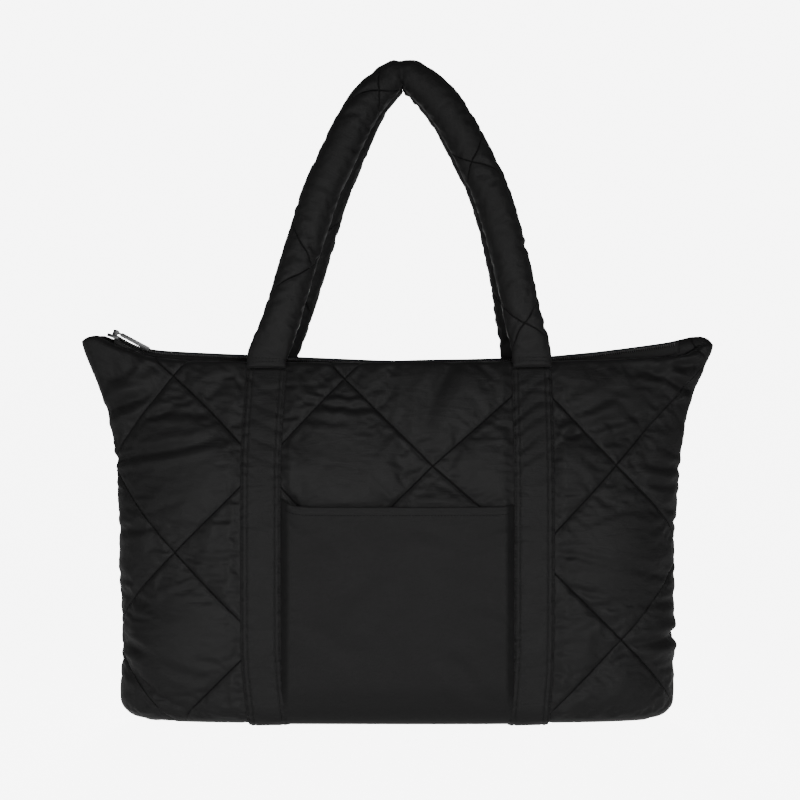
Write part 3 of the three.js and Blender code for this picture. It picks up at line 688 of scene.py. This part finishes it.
def stitched(name, runs, pitch=0.0034, length=0.0028, radius=0.00034):
    """Rows of stitches along runs of points and normals."""
    centres, longs, ups = [], [], []
    for points, normals in runs:
        way = distances(points)
        spots = np.arange(pitch, way[-1] - pitch, pitch)
        if not len(spots):
            continue
        pick = lambda values, at: np.column_stack([np.interp(at, way, values[:, k]) for k in range(3)])
        centres.append(pick(points, spots))
        longs.append(unit(pick(points, spots + length / 2) - pick(points, spots - length / 2)))
        ups.append(unit(pick(normals, spots)))
    rows = threads(name, *(np.concatenate(v) for v in (centres, longs, ups)), length, radius)
    dressed(rows, thread_finish)


def broken(points, normals, shown):
    """The runs of a line where it shows."""
    cuts = np.flatnonzero(np.diff(shown.astype(int))) + 1
    parts = zip(np.split(points, cuts), np.split(normals, cuts), np.split(shown, cuts))
    return [(p, n) for p, n, seen in parts if seen[0] and len(p) > 3]


def grained(name, dark, light, scale, rough, uneven, bump, more):
    """A finish with one fine grain in its colour, its gloss and its surface."""
    material, value = new_finish(name)
    grain = noise(value, value.node("TexCoord", None, None, 3), scale, 2.0)
    surface(value, {
        "Base Color": tint(value, grain, dark, light),
        "Roughness": grain * uneven + rough,
        "Normal": bumps(value, grain * bump),
        **more,
    })
    return material


thread_finish = grained(
    "black polyester thread", (0.0018, 0.0018, 0.0018), (0.0032, 0.0032, 0.0032),
    1600.0, 0.42, 0.2, 0.00008, {"Specular IOR Level": 0.06})

for side, wall in walls.items():
    runs = []
    rows = np.linspace(quilt_row(BODY_HEIGHT - 0.004), quilt_row(0.014), 420)
    heights = BODY_HEIGHT - QUILT_TOP - rows * QUILT_DROP
    for way in (-1, 1):
        for start in range(-8, 12, 2):
            columns = start + way * rows
            arcs = quilt_arcs(side, columns, 0.30)
            shown = (columns > -2.93) & (columns < 3.93)
            for hand in (-1, 1):
                shown &= np.abs(arcs - band_line(side, hand, heights)) > BAND_WIDTH / 2 + 0.0015
            if side == "front":
                shown &= (np.abs(arcs) > POCKET_HALF - 0.0004) | (heights > POCKET_TOP + 0.0015)
            runs += broken(*wall.at(columns, heights), shown)
    stitched("quilting_thread_" + side, runs)


# The base: the same quilted nylon, boxed under the two walls. It lies flat where the bag
# stands, and is lifted where the bands cross below it and at its sewn edge.
BASE_STARTS = (0.6, 0.4)
front_foot, back_foot = (walls[side].grid[-1, ::2] for side in ("front", "back"))
shares = np.linspace(0, 1, 29)
under = front_foot[None] * (1 - shares)[:, None, None] + back_foot[None] * shares[:, None, None]
inset = np.sign(under[..., 1]) * -LAYER * np.isin(np.arange(29), (0, 28))[:, None]
under[..., 1] += inset
across = under[..., 0]
to_foot_line = np.minimum(shares, 1 - shares)[:, None] * (BODY_DEPTH - 2 * FOOT_ROUND)
to_edge = np.minimum(to_foot_line, np.abs(across).max() - np.abs(across))
band_x = [[np.interp(band_line(side, hand, FOOT), walls[side].arcs[-1], walls[side].grid[-1, :, 0])
           for side in ("front", "back")] for hand in (-1, 1)]
from_bands = np.minimum(*(np.abs(across - (x[0] * (1 - shares) + x[1] * shares)[:, None]) for x in band_x))
seams = seam_distance(across / QUILT_PITCH + BASE_STARTS[0], under[..., 1] / QUILT_DROP + BASE_STARTS[1])
raised = np.maximum(1 - soft_step(to_edge, 0, 0.014), 1 - soft_step(from_bands, 0.0195, 0.026))
under[..., 2] = np.maximum(FOOT * raised, 0.0011 * bell(seams, 0.003))
over = under[::2, ::2].copy()
puffed = soft_step(seams[::2, ::2], 0, 0.012) * soft_step(to_edge[::2, ::2], 0, 0.02)
over[..., 2] = FOOT + WALL - 0.0006 + 0.0012 * puffed
base = padded_shell("base", under, over, under[..., :2], over[..., :2])
both_faces = [np.concatenate((under[..., k].ravel(), over[..., k].ravel())) for k in (0, 1)]
mark_quilting(base, both_faces[0] / QUILT_PITCH + BASE_STARTS[0], both_faces[1] / QUILT_DROP + BASE_STARTS[1])
dressed(base, quilted_nylon, "base_panel")


# The two bands: nylon folded to a flat strip, sewn down with two rows of stitches along each
# edge, from the front mouth under the base to the back mouth. The rows pull it into small puckers.
EDGE_ROW, INNER_ROW = 0.0174, 0.0130
BAND_POINTS = 45
BAND_CREASES = fold_table([
    (-0.016, 0.030, 0.014, 0.010, 0.0011, 0.7, 0.0028), (-0.015, 0.046, 0.012, 0.031, 0.0010, 0.6, 0.0026),
    (-0.017, 0.062, 0.010, 0.047, 0.0012, 0.6, 0.0028), (-0.014, 0.078, 0.016, 0.060, 0.0010, 0.7, 0.0026),
    (-0.016, 0.094, 0.012, 0.080, 0.0008, 0.5, 0.0028), (-0.010, 0.020, 0.016, 0.024, 0.0007, 0.6, 0.0022),
])
band_nylon = nylon("black nylon band", (0.0032, 0.0032, 0.0033), (0.0052, 0.0051, 0.0051), 0.66, 0.7)

for hand, name in ((-1, "left"), (1, "right")):
    width = np.linspace(-1, 1, BAND_POINTS) * BAND_WIDTH / 2
    line = walls["front"].height_line
    heights = np.concatenate(([BODY_HEIGHT - BAND_DROP], line[line < BODY_HEIGHT - BAND_DROP - 0.001]))
    front, back = (
        skin(side, heights, lambda half, z: band_line(side, hand, z) + width) for side in ("front", "back")
    )
    shares = np.linspace(0, 1, 32)[1:-1, None, None]
    path = np.concatenate((front, front[-1] * (1 - shares) + back[-1] * shares, back[::-1]))
    normal = outward(path)
    way = distances(path[:, BAND_POINTS // 2])
    u, v = np.meshgrid(width, way)
    rows = []
    for edge in (-1, 1):
        rows += puckers(62, 0.006, way[-1] - 0.006, edge * 0.0185, -edge * 0.012, 0.0012, 0.0021, 0.5)
    relief = creased(u, v, fold_table(rows))
    turned = dict(BAND_CREASES)
    if hand < 0:
        turned["u0"], turned["u1"], turned["deep"] = -turned["u0"], -turned["u1"], turned["deep"] * 0.6
    relief += creased(u, v, turned)
    for row in (EDGE_ROW, INNER_ROW):
        relief -= 0.0008 * bell(np.abs(u) - row, 0.0009)
    relief += 0.0006 * np.sin(2 * np.pi * v / 0.043 + u * 60) * np.sin(v * 31) * (1 - (u / width[-1]) ** 2)
    thick = (BAND_THICK - 0.0004) * (1 - 0.55 * (np.abs(u) / width[-1]) ** 18)
    top = path + out_by(normal, LAYER + thick + np.clip(relief, -0.0013, 0.0012))
    low = path + out_by(normal, 0 * u + LAYER)
    chart = np.stack((u, v), -1)
    band = padded_shell("band_" + name, top, low, chart, chart)
    dressed(band, band_nylon, "strap_band_" + name)
    face_normal = outward(top)
    spots = np.linspace(1.5, len(way) - 2.5, 700)
    runs = []
    for row in (-EDGE_ROW, -INNER_ROW, INNER_ROW, EDGE_ROW):
        column = np.full(len(spots), (row / BAND_WIDTH + 0.5) * (BAND_POINTS - 1))
        runs.append(run_on(top, face_normal, spots, column))
    stitched("band_thread_" + name, runs, 0.0032, 0.0026, 0.00033)


# The patch pocket: one layer of plain nylon with a turned hem, caught under the inner edges of
# the bands and at the foot. Its mouth is slack and its top corners ride up beside the bands.
POCKET_FOOT, POCKET_CLOTH, HEM, HEM_SEAM = 0.0045, 0.0013, 0.0090, 0.0012
POCKET_BULGE, POCKET_CORNER = 0.007, 0.0085
POCKET_SLACK = table("share across up", [
    (0.0, 1.00, 0.08), (0.5, 0.92, 0.50), (0.8, 0.55, 0.85), (1.0, 0.00, 1.00),
])
POCKET_FOLDS = fold_table([
    (-0.060, 0.172, -0.030, 0.140, 0.0016, 0.5, 0.0100), (-0.020, 0.130, -0.046, 0.104, 0.0013, 0.5, 0.0090),
    (0.052, 0.060, 0.086, 0.024, 0.0015, 0.6, 0.0080), (-0.075, 0.090, -0.040, 0.072, 0.0010, 0.5, 0.0090),
    (0.020, 0.185, 0.058, 0.176, 0.0010, 0.6, 0.0070), (0.100, 0.100, 0.060, 0.110, 0.0012, 0.2, 0.0060),
    (-0.104, 0.196, -0.086, 0.187, 0.0016, 0.4, 0.0040), (0.104, 0.192, 0.084, 0.184, 0.0012, 0.4, 0.0040),
])
hem_line = POCKET_TOP - HEM
hem_rise, rise = np.linspace(POCKET_TOP, hem_line - 0.003, 9), np.linspace(hem_line - 0.005, POCKET_FOOT, 80)
rise = np.concatenate((hem_rise, rise))
pocket_arcs = np.linspace(-POCKET_HALF, POCKET_HALF, 97)
base_grid = skin("front", rise, lambda whole, z: pocket_arcs)
normal = outward(base_grid)
u, v = np.meshgrid(pocket_arcs, rise)
share = np.abs(u) / POCKET_HALF
up_share = (v - POCKET_FOOT) / (POCKET_TOP - POCKET_FOOT)
near_mouth = soft_step(v, 0.150, POCKET_TOP)
fade = soft_step(v, FOOT, FOOT + 2 * FOOT_ROUND)
slack = read(POCKET_SLACK, "share", share, "across", 0.1) * read(POCKET_SLACK, "share", up_share, "up", 0.1)
held = soft_step(1 - share, 0.0, 0.07)
edge_folds = []
for edge in (POCKET_HALF, -POCKET_HALF):
    edge_folds += puckers(12, 0.02, 0.19, edge, -math.copysign(0.016, edge), 0.0011, 0.0032, 0.3)
relief = creased(u, v, POCKET_FOLDS) + creased(u, v, fold_table(edge_folds))
relief += 0.0006 * np.sin(31 * u + 0.7) * np.sin(26 * v + 1.1)
doubled = 0.0005 * soft_step(v, hem_line - 0.0006, hem_line + 0.0006)
relief += doubled - 0.0006 * bell(v - hem_line - HEM_SEAM, 0.0011)
bulge = POCKET_BULGE * slack * fade * held * (1 - 0.65 * near_mouth)
out = LAYER + held * (PUFF * fade + 0.0002) + bulge
out += relief * np.clip(fade, 0.15, 1) * soft_step(1 - share, 0, 0.02)
out = np.maximum(out, LAYER + 0.9 * held * PUFF * fade)
corner = POCKET_CORNER * np.exp(-(POCKET_HALF - np.abs(u)) / 0.007) * np.where(u < 0, 1.0, 0.35)
base_grid[..., 2] += corner * near_mouth
face = base_grid + out_by(normal, out + POCKET_CLOTH)
inside = base_grid + out_by(normal, out)
chart = np.stack((u, v), -1)
pocket = padded_shell("pocket", face, inside, chart, chart)
pocket_nylon = nylon("plain black nylon", (0.0031, 0.0031, 0.0032), (0.0046, 0.0045, 0.0045), 0.68, 0.3)
dressed(pocket, pocket_nylon, "front_pocket")
spots = np.linspace(1, 95, 400)
hem_row = np.full(400, np.interp(-(hem_line + HEM_SEAM), -rise, np.arange(len(rise))))
stitched("pocket_thread", [run_on(face, outward(face), hem_row, spots)], 0.003, 0.0025, 0.00032)


# The two handles: tubes of the quilted nylon over a soft round filling, sewn flat over the tops
# of the bands. Their quilting runs round them in crosses, and at the top they are pinched in.
HANDLE_WIDTH, HANDLE_THICK, HANDLE_FOOT = 0.036, 0.030, 0.009
HANDLE_TOP, HANDLE_SHIFT, HANDLE_BETWEEN = 0.6165, 0.005, 0.004
HANDLE_ROWS, HANDLE_SIDES = 151, 28
CROSS = 0.165
HANDLE_GIRTH, HANDLE_SWELL, HANDLE_CREEP = 0.102, 0.0014, 0.002
HANDLE_SPARE, HANDLE_TOP_SPARE = 0.006, 0.014
HANDLE_SWAY = {"front": 0.0042, "back": 0.0075}
# how far along a handle its quilting crosses, and how far round it each cross is turned
CROSSES = {
    "front": ([0.105, 0.288, 0.430, 0.593], [0.0150, 0.002, 0.004, 0.0]),
    "back": ([0.02, 0.185, 0.35, 0.515, 0.68], [0.0, 0.004, -0.003, 0.005, 0.0]),
}
HANDLE_LEG = table("rise span lean wide deep", [
    (0.0000, 1.000, 0.00, 1.03, 0.30), (0.0750, 0.975, 0.02, 1.04, 0.50), (0.1370, 0.929, 0.10, 1.00, 0.82),
    (0.2600, 0.857, 0.26, 0.98, 1.00), (0.3950, 0.778, 0.45, 0.98, 1.00), (0.5930, 0.643, 0.72, 1.00, 1.00),
    (0.6950, 0.538, 0.82, 1.00, 1.00), (0.7930, 0.430, 0.90, 1.00, 1.00), (0.8500, 0.360, 0.94, 0.99, 1.00),
    (0.9140, 0.260, 0.97, 0.96, 1.00), (0.9590, 0.157, 0.99, 0.90, 1.00), (0.9935, 0.058, 1.00, 0.84, 1.00),
])


def sewn_foot(side, hand):
    """Where a handle is sewn over a band: the point on the wall, its normal and its way up."""
    z = BODY_HEIGHT - BAND_DROP
    middle = band_line(side, hand, z)
    around = middle + np.array([-0.5, 0, 0.5]) * BAND_WIDTH
    patch = skin(side, [z + 0.001, z, z - 0.001], lambda half, _: around)
    across = unit(patch[1, 2] - patch[1, 0])
    normal = FACING[side] * unit(np.cross(across, patch[2, 1] - patch[0, 1]))
    return patch[1, 1], normal, -FACING[side] * np.cross(normal, across)


def smooth_line(knots, steps=40):
    """A centripetal curve through points."""
    p = np.concatenate((2 * knots[:1] - knots[1:2], knots, 2 * knots[-1:] - knots[-2:-1]))
    t = np.linspace(0, 1, steps, endpoint=False)[:, None]
    pieces = []
    for a, b, c, d in zip(p[:-3], p[1:-2], p[2:-1], p[3:]):
        ab, bc, cd = (math.sqrt(np.linalg.norm(q - r)) for q, r in ((b, a), (c, b), (d, c)))
        m = ((b - a) / ab - (c - a) / (ab + bc) + (c - b) / bc) * bc
        n = ((c - b) / bc - (d - b) / (bc + cd) + (d - c) / cd) * bc
        pieces.append(b + m * t + (-3 * b + 3 * c - 2 * m - n) * t**2 + (2 * b - 2 * c + m + n) * t**3)
    return np.concatenate((*pieces, knots[-1:]))


def among_crosses(side, u, at, phase):
    """Where points of a handle lie from its line of crosses, and how far from its quilting seams."""
    from_cross = (u - np.interp(at, *CROSSES[side])[:, None]) / CROSS
    lines = [phase + from_cross, phase - from_cross]
    off = np.minimum(*(np.abs(line - np.round(line)) for line in lines)) * CROSS / math.sqrt(2)
    return from_cross, lines, off


def handle_creases(length, middle):
    """Short creases across a handle, most of them on the inside of its bend."""
    rows = []
    for _ in range(58):
        spot = chance.uniform(0.02, length - 0.02)
        inner_side = 0.25 * HANDLE_GIRTH * (-1 if spot < middle else 1)
        u = -inner_side * chance.uniform(0.3, 1.1) * (1 if chance.uniform() < 0.85 else -1)
        reach = chance.uniform(0.006, 0.018)
        rows.append((u - reach / 2, spot, u + reach / 2, spot + chance.uniform(-0.005, 0.005),
                     chance.uniform(0.0003, 0.0009), 0.5, chance.uniform(0.0018, 0.0032)))
    return fold_table(rows)


for side in ("front", "back"):
    facing = FACING[side]
    top_depth = facing * (HANDLE_THICK + HANDLE_BETWEEN) / 2
    legs, feet = [], []
    for hand in (-1, 1):
        point, normal, up = sewn_foot(side, hand)
        foot = point + normal * (LAYER + HANDLE_FOOT / 2) + up * LAYER
        above = foot + up * (BAND_DROP + HANDLE_FOOT / 2) + normal * 2 * LAYER
        rows = []
        for rise, span, lean in zip(*(HANDLE_LEG[name][1:] for name in ("rise", "span", "lean"))):
            sway = HANDLE_SHIFT * rise + HANDLE_SWAY[side] * math.sin(math.pi * rise)
            rows.append((hand * abs(foot[0]) * span + sway, above[1] + (top_depth - above[1]) * lean,
                         foot[2] + (HANDLE_TOP - foot[2]) * rise))
        legs.append([foot, above, *rows])
        feet.append((normal, up, foot[2]))
    knots = np.array([*legs[0], (HANDLE_SHIFT, top_depth, HANDLE_TOP), *legs[1][::-1]])
    dense = smooth_line(knots)
    way = distances(dense)
    at = np.linspace(0, way[-1], HANDLE_ROWS)
    centre = np.column_stack([np.interp(at, way, dense[:, k]) for k in range(3)])
    tangent = unit(np.gradient(centre, axis=0))
    tangent[0], tangent[-1] = feet[0][1], -feet[1][1]
    rise = np.clip((centre[:, 2] - feet[0][2]) / (HANDLE_TOP - feet[0][2]), 0, 1)
    left = (np.arange(HANDLE_ROWS) < HANDLE_ROWS / 2)[:, None]
    wall_normal = np.where(left, feet[0][0], feet[1][0])
    turn = np.clip(rise / 0.12, 0, 1)[:, None]
    deep_axis = wall_normal * (1 - turn) + np.array([0, facing, 0]) * turn
    deep_axis = unit(deep_axis - tangent * (deep_axis * tangent).sum(-1, keepdims=True))
    wide_axis = np.cross(tangent, deep_axis)
    flatter = 0.0004 * soft_step(rise, 0.05, 0.2)
    wide = read(HANDLE_LEG, "rise", rise, "wide", 0.03) * HANDLE_WIDTH / 2 - flatter
    deep = read(HANDLE_LEG, "rise", rise, "deep", 0.03) * HANDLE_THICK / 2 - flatter
    # round the tube from its hidden seam, over the face that looks away from the bag
    around = (np.arange(HANDLE_SIDES) + 0.5) / HANDLE_SIDES - 0.5
    angle = math.pi / 2 - around * 2 * math.pi
    cos, sin = (np.sign(f) * np.abs(f) ** 0.88 for f in (np.cos(angle), np.sin(angle)))
    ring = wide_axis[:, None] * (wide[:, None] * cos)[..., None]
    ring = ring + deep_axis[:, None] * (deep[:, None] * sin)[..., None]
    tube, out = centre[:, None] + ring, unit(ring)
    spacing = CROSSES[side][0]
    beyond = np.minimum(at - spacing[0], 0) / CROSS + np.maximum(at - spacing[-1], 0) / CROSS
    phase = np.interp(at, spacing, range(len(spacing))) + beyond
    u, f = np.meshgrid(around * HANDLE_GIRTH, phase)
    from_cross, lines, off = among_crosses(side, u, at, f)
    hidden = HANDLE_GIRTH / 2 - np.abs(u)
    ends = np.minimum(at, at[-1] - at)[:, None]
    puffed = np.sqrt(np.abs(np.sin(np.pi * lines[0]) * np.sin(np.pi * lines[1])))
    start = tube + out_by(out, 0.0009 * puffed * soft_step(ends, 0.01, 0.05))
    start += out_by(out, 0.0003 * chance.normal(0, 1, u.shape)) * (ends > 0.015)[..., None]
    worked = start
    free = (off > 0.0022) & (hidden > 0.003) & (ends > 0.016)
    toward_bend = (out * unit(np.gradient(tangent, axis=0))[:, None]).sum(-1)
    gathered = np.clip(toward_bend, 0, 1) + 0.5 * bell(ends, 0.05)
    worked = filled_out(
        start, 1.0 - free, np.clip(gathered, 0, 1), HANDLE_SPARE, HANDLE_TOP_SPARE, closed=True)
    tube = held_near(worked, tube, out, HANDLE_SWELL, HANDLE_CREEP)
    closed_up = lambda grid: refined(np.concatenate((grid, grid[:, :1]), axis=1))[:, :-1]
    tube, out = closed_up(tube), unit(closed_up(out))
    count, sides = tube.shape[:2]
    fine_at = np.linspace(0, at[-1], count)
    fine_u = (np.arange(sides) / sides - 0.5 + 0.5 / HANDLE_SIDES) * HANDLE_GIRTH
    fine_u = (fine_u + HANDLE_GIRTH / 2) % HANDLE_GIRTH - HANDLE_GIRTH / 2
    phase = np.interp(fine_at, at, phase)
    u, f = np.meshgrid(fine_u, phase)
    v = np.repeat(fine_at[:, None], sides, 1)
    from_cross, lines, off = among_crosses(side, u, fine_at, f)
    middle = np.interp(HANDLE_SHIFT, tube.mean(1)[:, 0], fine_at)
    relief = -0.0008 * bell(off, 0.0016) - 0.0010 * bell(HANDLE_GIRTH / 2 - np.abs(u), 0.002)
    relief -= 0.0026 * bell(v - middle + 0.0015, 0.0030) + 0.0012 * bell(v - middle, 0.011)
    relief += creased(u, v, handle_creases(at[-1], middle))
    tube = tube + out_by(out, relief)
    ends_closed = [list(range(sides)), list(range((count - 1) * sides, count * sides))]
    faces = [*grid_faces(count, sides), *ring_faces(count, sides), *ends_closed]
    handle = soft_piece("handle_" + side + "_tube", tube, faces, np.stack((u, v), -1))
    mark_quilting(handle, 2 * f.ravel(), 2 * from_cross.ravel())
    dressed(handle, quilted_nylon, "handle_" + side)
    ring_share = lambda line_u: line_u / HANDLE_GIRTH + 0.5 - 0.5 / HANDLE_SIDES
    on_tube = lambda spot, line_u: run_on(
        tube, out, spot / at[-1] * (count - 1), (ring_share(line_u) * sides) % sides)
    runs = []
    spots = np.linspace(0.012, at[-1] - 0.012, 900)
    spot_phase = np.interp(spots, fine_at, phase)
    for number in range(-2, 8):
        for cross_way in (-1, 1):
            line_u = cross_way * CROSS * (number - spot_phase) + np.interp(spots, *CROSSES[side])
            runs += broken(*on_tube(spots, line_u), np.abs(line_u) < HANDLE_GIRTH / 2 - 0.004)
    for leg_end in (0.0045, 0.0078):
        for spot in (leg_end, at[-1] - leg_end):
            runs.append(on_tube(np.full(40, spot), np.linspace(-0.016, 0.016, 40)))
    stitched("handle_thread_" + side, runs, 0.0032, 0.0026, 0.00032)


# The zip, open: a woven tape along the inside of each mouth edge, with a nylon coil on the edge
# that meets the other half. It is sewn to the lining just below the mouth.
TAPE_TALL, TAPE_THICK, TAPE_DROP, TOOTH = 0.013, 0.0012, 0.0015, 0.0021
TOOTH_LONG, TOOTH_RADIUS, TAPE_WARP, TAPE_WEFT = 0.0042, 0.0007, 0.0009, 0.0006
# the tape rises under the slider: how far, how far past its own end the rise peaks, and how wide
SLIDER_LIFT, SLIDER_END, SLIDER_REACH = 0.0072, 0.008, 0.024
tape_cloth, value = new_finish("black zip tape")
chart = value.node("UVMap", {"uv_map": "cloth"})
across, up = first_two(value, chart)
ribs = value.worked("SINE", across * (2 * math.pi / TAPE_WARP))
ribs = ribs * value.worked("SINE", up * (2 * math.pi / TAPE_WEFT))
fuzz = noise(value, chart, 700.0, 3.0)
surface(value, {
    "Base Color": tint(value, fuzz, (0.0025, 0.0025, 0.0025), (0.0045, 0.0045, 0.0045)),
    "Roughness": fuzz * 0.2 + 0.65,
    "Normal": bumps(value, ribs * 0.00006 + fuzz * 0.00005),
    "Specular IOR Level": 0.2,
})
coil_finish = grained(
    "black nylon coil", (0.004, 0.004, 0.004), (0.007, 0.007, 0.007), 900.0, 0.32, 0.15, 0.00003, {})
for side in ("front", "back"):
    facing = FACING[side]
    low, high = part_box("zip_tape_" + side)
    spots = np.linspace(low.x, high.x, 141)
    to_slider = SLIDER_LIFT * bell(spots - low.x + SLIDER_END, SLIDER_REACH)
    drops = np.linspace(TAPE_DROP, TAPE_DROP + TAPE_TALL, 7)
    rows = []
    for drop in drops:
        z = BODY_HEIGHT - drop
        x, y, length = plan(z, WALL, LINING_SEAM)
        depth = facing * np.interp(np.abs(spots), x, y)
        rows.append(np.column_stack((spots, depth, z + lift(side, spots / x[-1], BODY_HEIGHT) + to_slider)))
    tape_grid = np.array(rows)
    ease = LAYER + 0.0002 + 0.0008 * (1 - np.cos(spots * 90)) / 2
    tape_in = tape_grid - np.array([0, facing, 0]) * ease[None, :, None]
    tape_out = tape_in - np.array([0, facing * TAPE_THICK, 0])
    u, v = np.meshgrid(spots, drops)
    chart = np.stack((u, v), -1)
    tape = padded_shell("zip_half_" + side, tape_out, tape_in, chart, chart)
    dressed(tape, tape_cloth, "zip_tape_" + side)
    edge = tape_out[0]
    way = distances(edge)
    beats = np.arange(0.004, way[-1] - 0.004, TOOTH)
    centres = np.column_stack([np.interp(beats, way, edge[:, k]) for k in range(3)])
    centres += np.array([0, -facing * 0.0004, -0.0012])
    downs = unit(np.tile([0.25, 0.0, -1.0], (len(beats), 1)))
    inwards = np.tile([0.0, -facing, 0.0], (len(beats), 1))
    coil = threads("zip_coil_" + side, centres, downs, inwards, TOOTH_LONG, TOOTH_RADIUS, 6)
    dressed(coil, coil_finish)


# The slider and its pull: cast metal with a dark polished plating. The slider rides on both mouth
# edges at the left end of the zip, and the pull hangs from the pin between its ears.
plating, value = new_finish("dark plated metal")
place = value.node("TexCoord", None, None, 3)
cloudy = noise(value, place, 260.0, 4.0)
rubs = noise(value, place, 2400.0, 2.0, 0.5, 2.0)
surface(value, {
    "Base Color": tint(value, cloudy, (0.004, 0.0041, 0.0045), (0.011, 0.0112, 0.012)),
    "Metallic": 0.5,
    "Roughness": cloudy * 0.14 + rubs * 0.06 + 0.24,
    "Normal": bumps(value, rubs * 0.000006 + cloudy * 0.00002),
})


def cast(node, name, rounding, body):
    """A casting with rounded edges, from the frame's own shape."""
    casting = in_scene(name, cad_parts[node].data.copy())
    select_only(casting)
    bpy.ops.object.mode_set(mode="EDIT")
    bpy.ops.mesh.select_all(action="SELECT")
    bpy.ops.mesh.remove_doubles(threshold=0.00002)
    bpy.ops.mesh.dissolve_limited(angle_limit=math.radians(4))
    bpy.ops.object.mode_set(mode="OBJECT")
    rounded = casting.modifiers.new("rounded", "BEVEL")
    rounded.width, rounded.segments, rounded.angle_limit = rounding, 3, math.radians(35)
    bpy.ops.object.modifier_apply(modifier=rounded.name)
    bpy.ops.object.shade_smooth_by_angle(angle=math.radians(40))
    casting.data.materials.clear()
    dressed(casting, plating, node, body)


cast("zip_slider", "slider_body", 0.00035, "bag")
cast("zip_pull", "pull_tab", 0.00045, "pull")


# The studio: a pale floor that runs out of sight, one broad soft light in front and to the right,
# a weaker one on the left, a small low one behind the bag, and a long lens just above its mouth.
PHOTO_SIDE, VIEW_SHIFT = 800, (2.5, -79)
VIEW_WIDTH, CAMERA_AWAY, CAMERA_UP, SENSOR = 0.8 / 1.04, 2.2, 0.38, 36
bpy.ops.object.select_all(action="DESELECT")
bpy.ops.mesh.primitive_plane_add(size=40, location=(0, 0, -0.0001))
floor = bpy.context.object
floor.data.transform(floor.matrix_world)
floor.matrix_world.identity()
floor_finish, value = new_finish("pale floor")
mottle = noise(value, value.node("TexCoord", None, None, 3), 3.0, 2.0)
surface(value, {
    "Base Color": tint(value, mottle, (0.93, 0.93, 0.93), (0.96, 0.96, 0.96)),
    "Roughness": 0.9,
    "Specular IOR Level": 0.1,
    "Emission Color": tint(value, value.node("LightPath"), (0.105, 0.105, 0.105), (1, 1, 1)),
    "Emission Strength": 7.0,
})
floor.data.materials.append(floor_finish)

for name, energy, spread, wide, tall, place, aim in (
    ("front light", 8.6, 54, 1.6, 1.0, (0.50, -2.1, 0.42), (0.0, 0.0, 0.05)),
    ("back light", 4.0, 24, 0.45, 0.28, (0.0, 1.9, 0.16), (0.0, 0.0, 0.06)),
    ("left light", 2.8, 54, 0.8, 0.5, (-1.0, -1.9, 0.28), (-0.1, 0.0, 0.10)),
):
    light = bpy.data.lights.new(name, "AREA")
    light.shape = "RECTANGLE"
    light.spread = math.radians(spread)
    light.energy, light.size, light.size_y = energy, wide, tall
    lamp = in_scene(name, light)
    lamp.location = place
    lamp.rotation_euler = (Vector(aim) - Vector(place)).to_track_quat("-Z", "Y").to_euler()

# the backdrop is bright to the eye and dim as a light, as a lit wall well behind the bag is
sky = bpy.data.worlds.new("studio")
sky.use_nodes = True
sky.node_tree.nodes.clear()
value = Value(sky.node_tree)
seen = value.node("LightPath")
backdrop = value.node("Background", None, {"Color": (1, 1, 1, 1), "Strength": seen * 7.1 + 0.2})
value.node("OutputWorld", None, {"Surface": backdrop})
bpy.context.scene.world = sky

lens = bpy.data.cameras.new("camera")
lens.lens = SENSOR * CAMERA_AWAY / VIEW_WIDTH
lens.shift_x, lens.shift_y = (pixels / PHOTO_SIDE for pixels in VIEW_SHIFT)
camera = in_scene("camera", lens)
camera.location = (0, -CAMERA_AWAY, CAMERA_UP)
camera.rotation_euler = (math.pi / 2, 0, 0)
bpy.context.scene.camera = camera
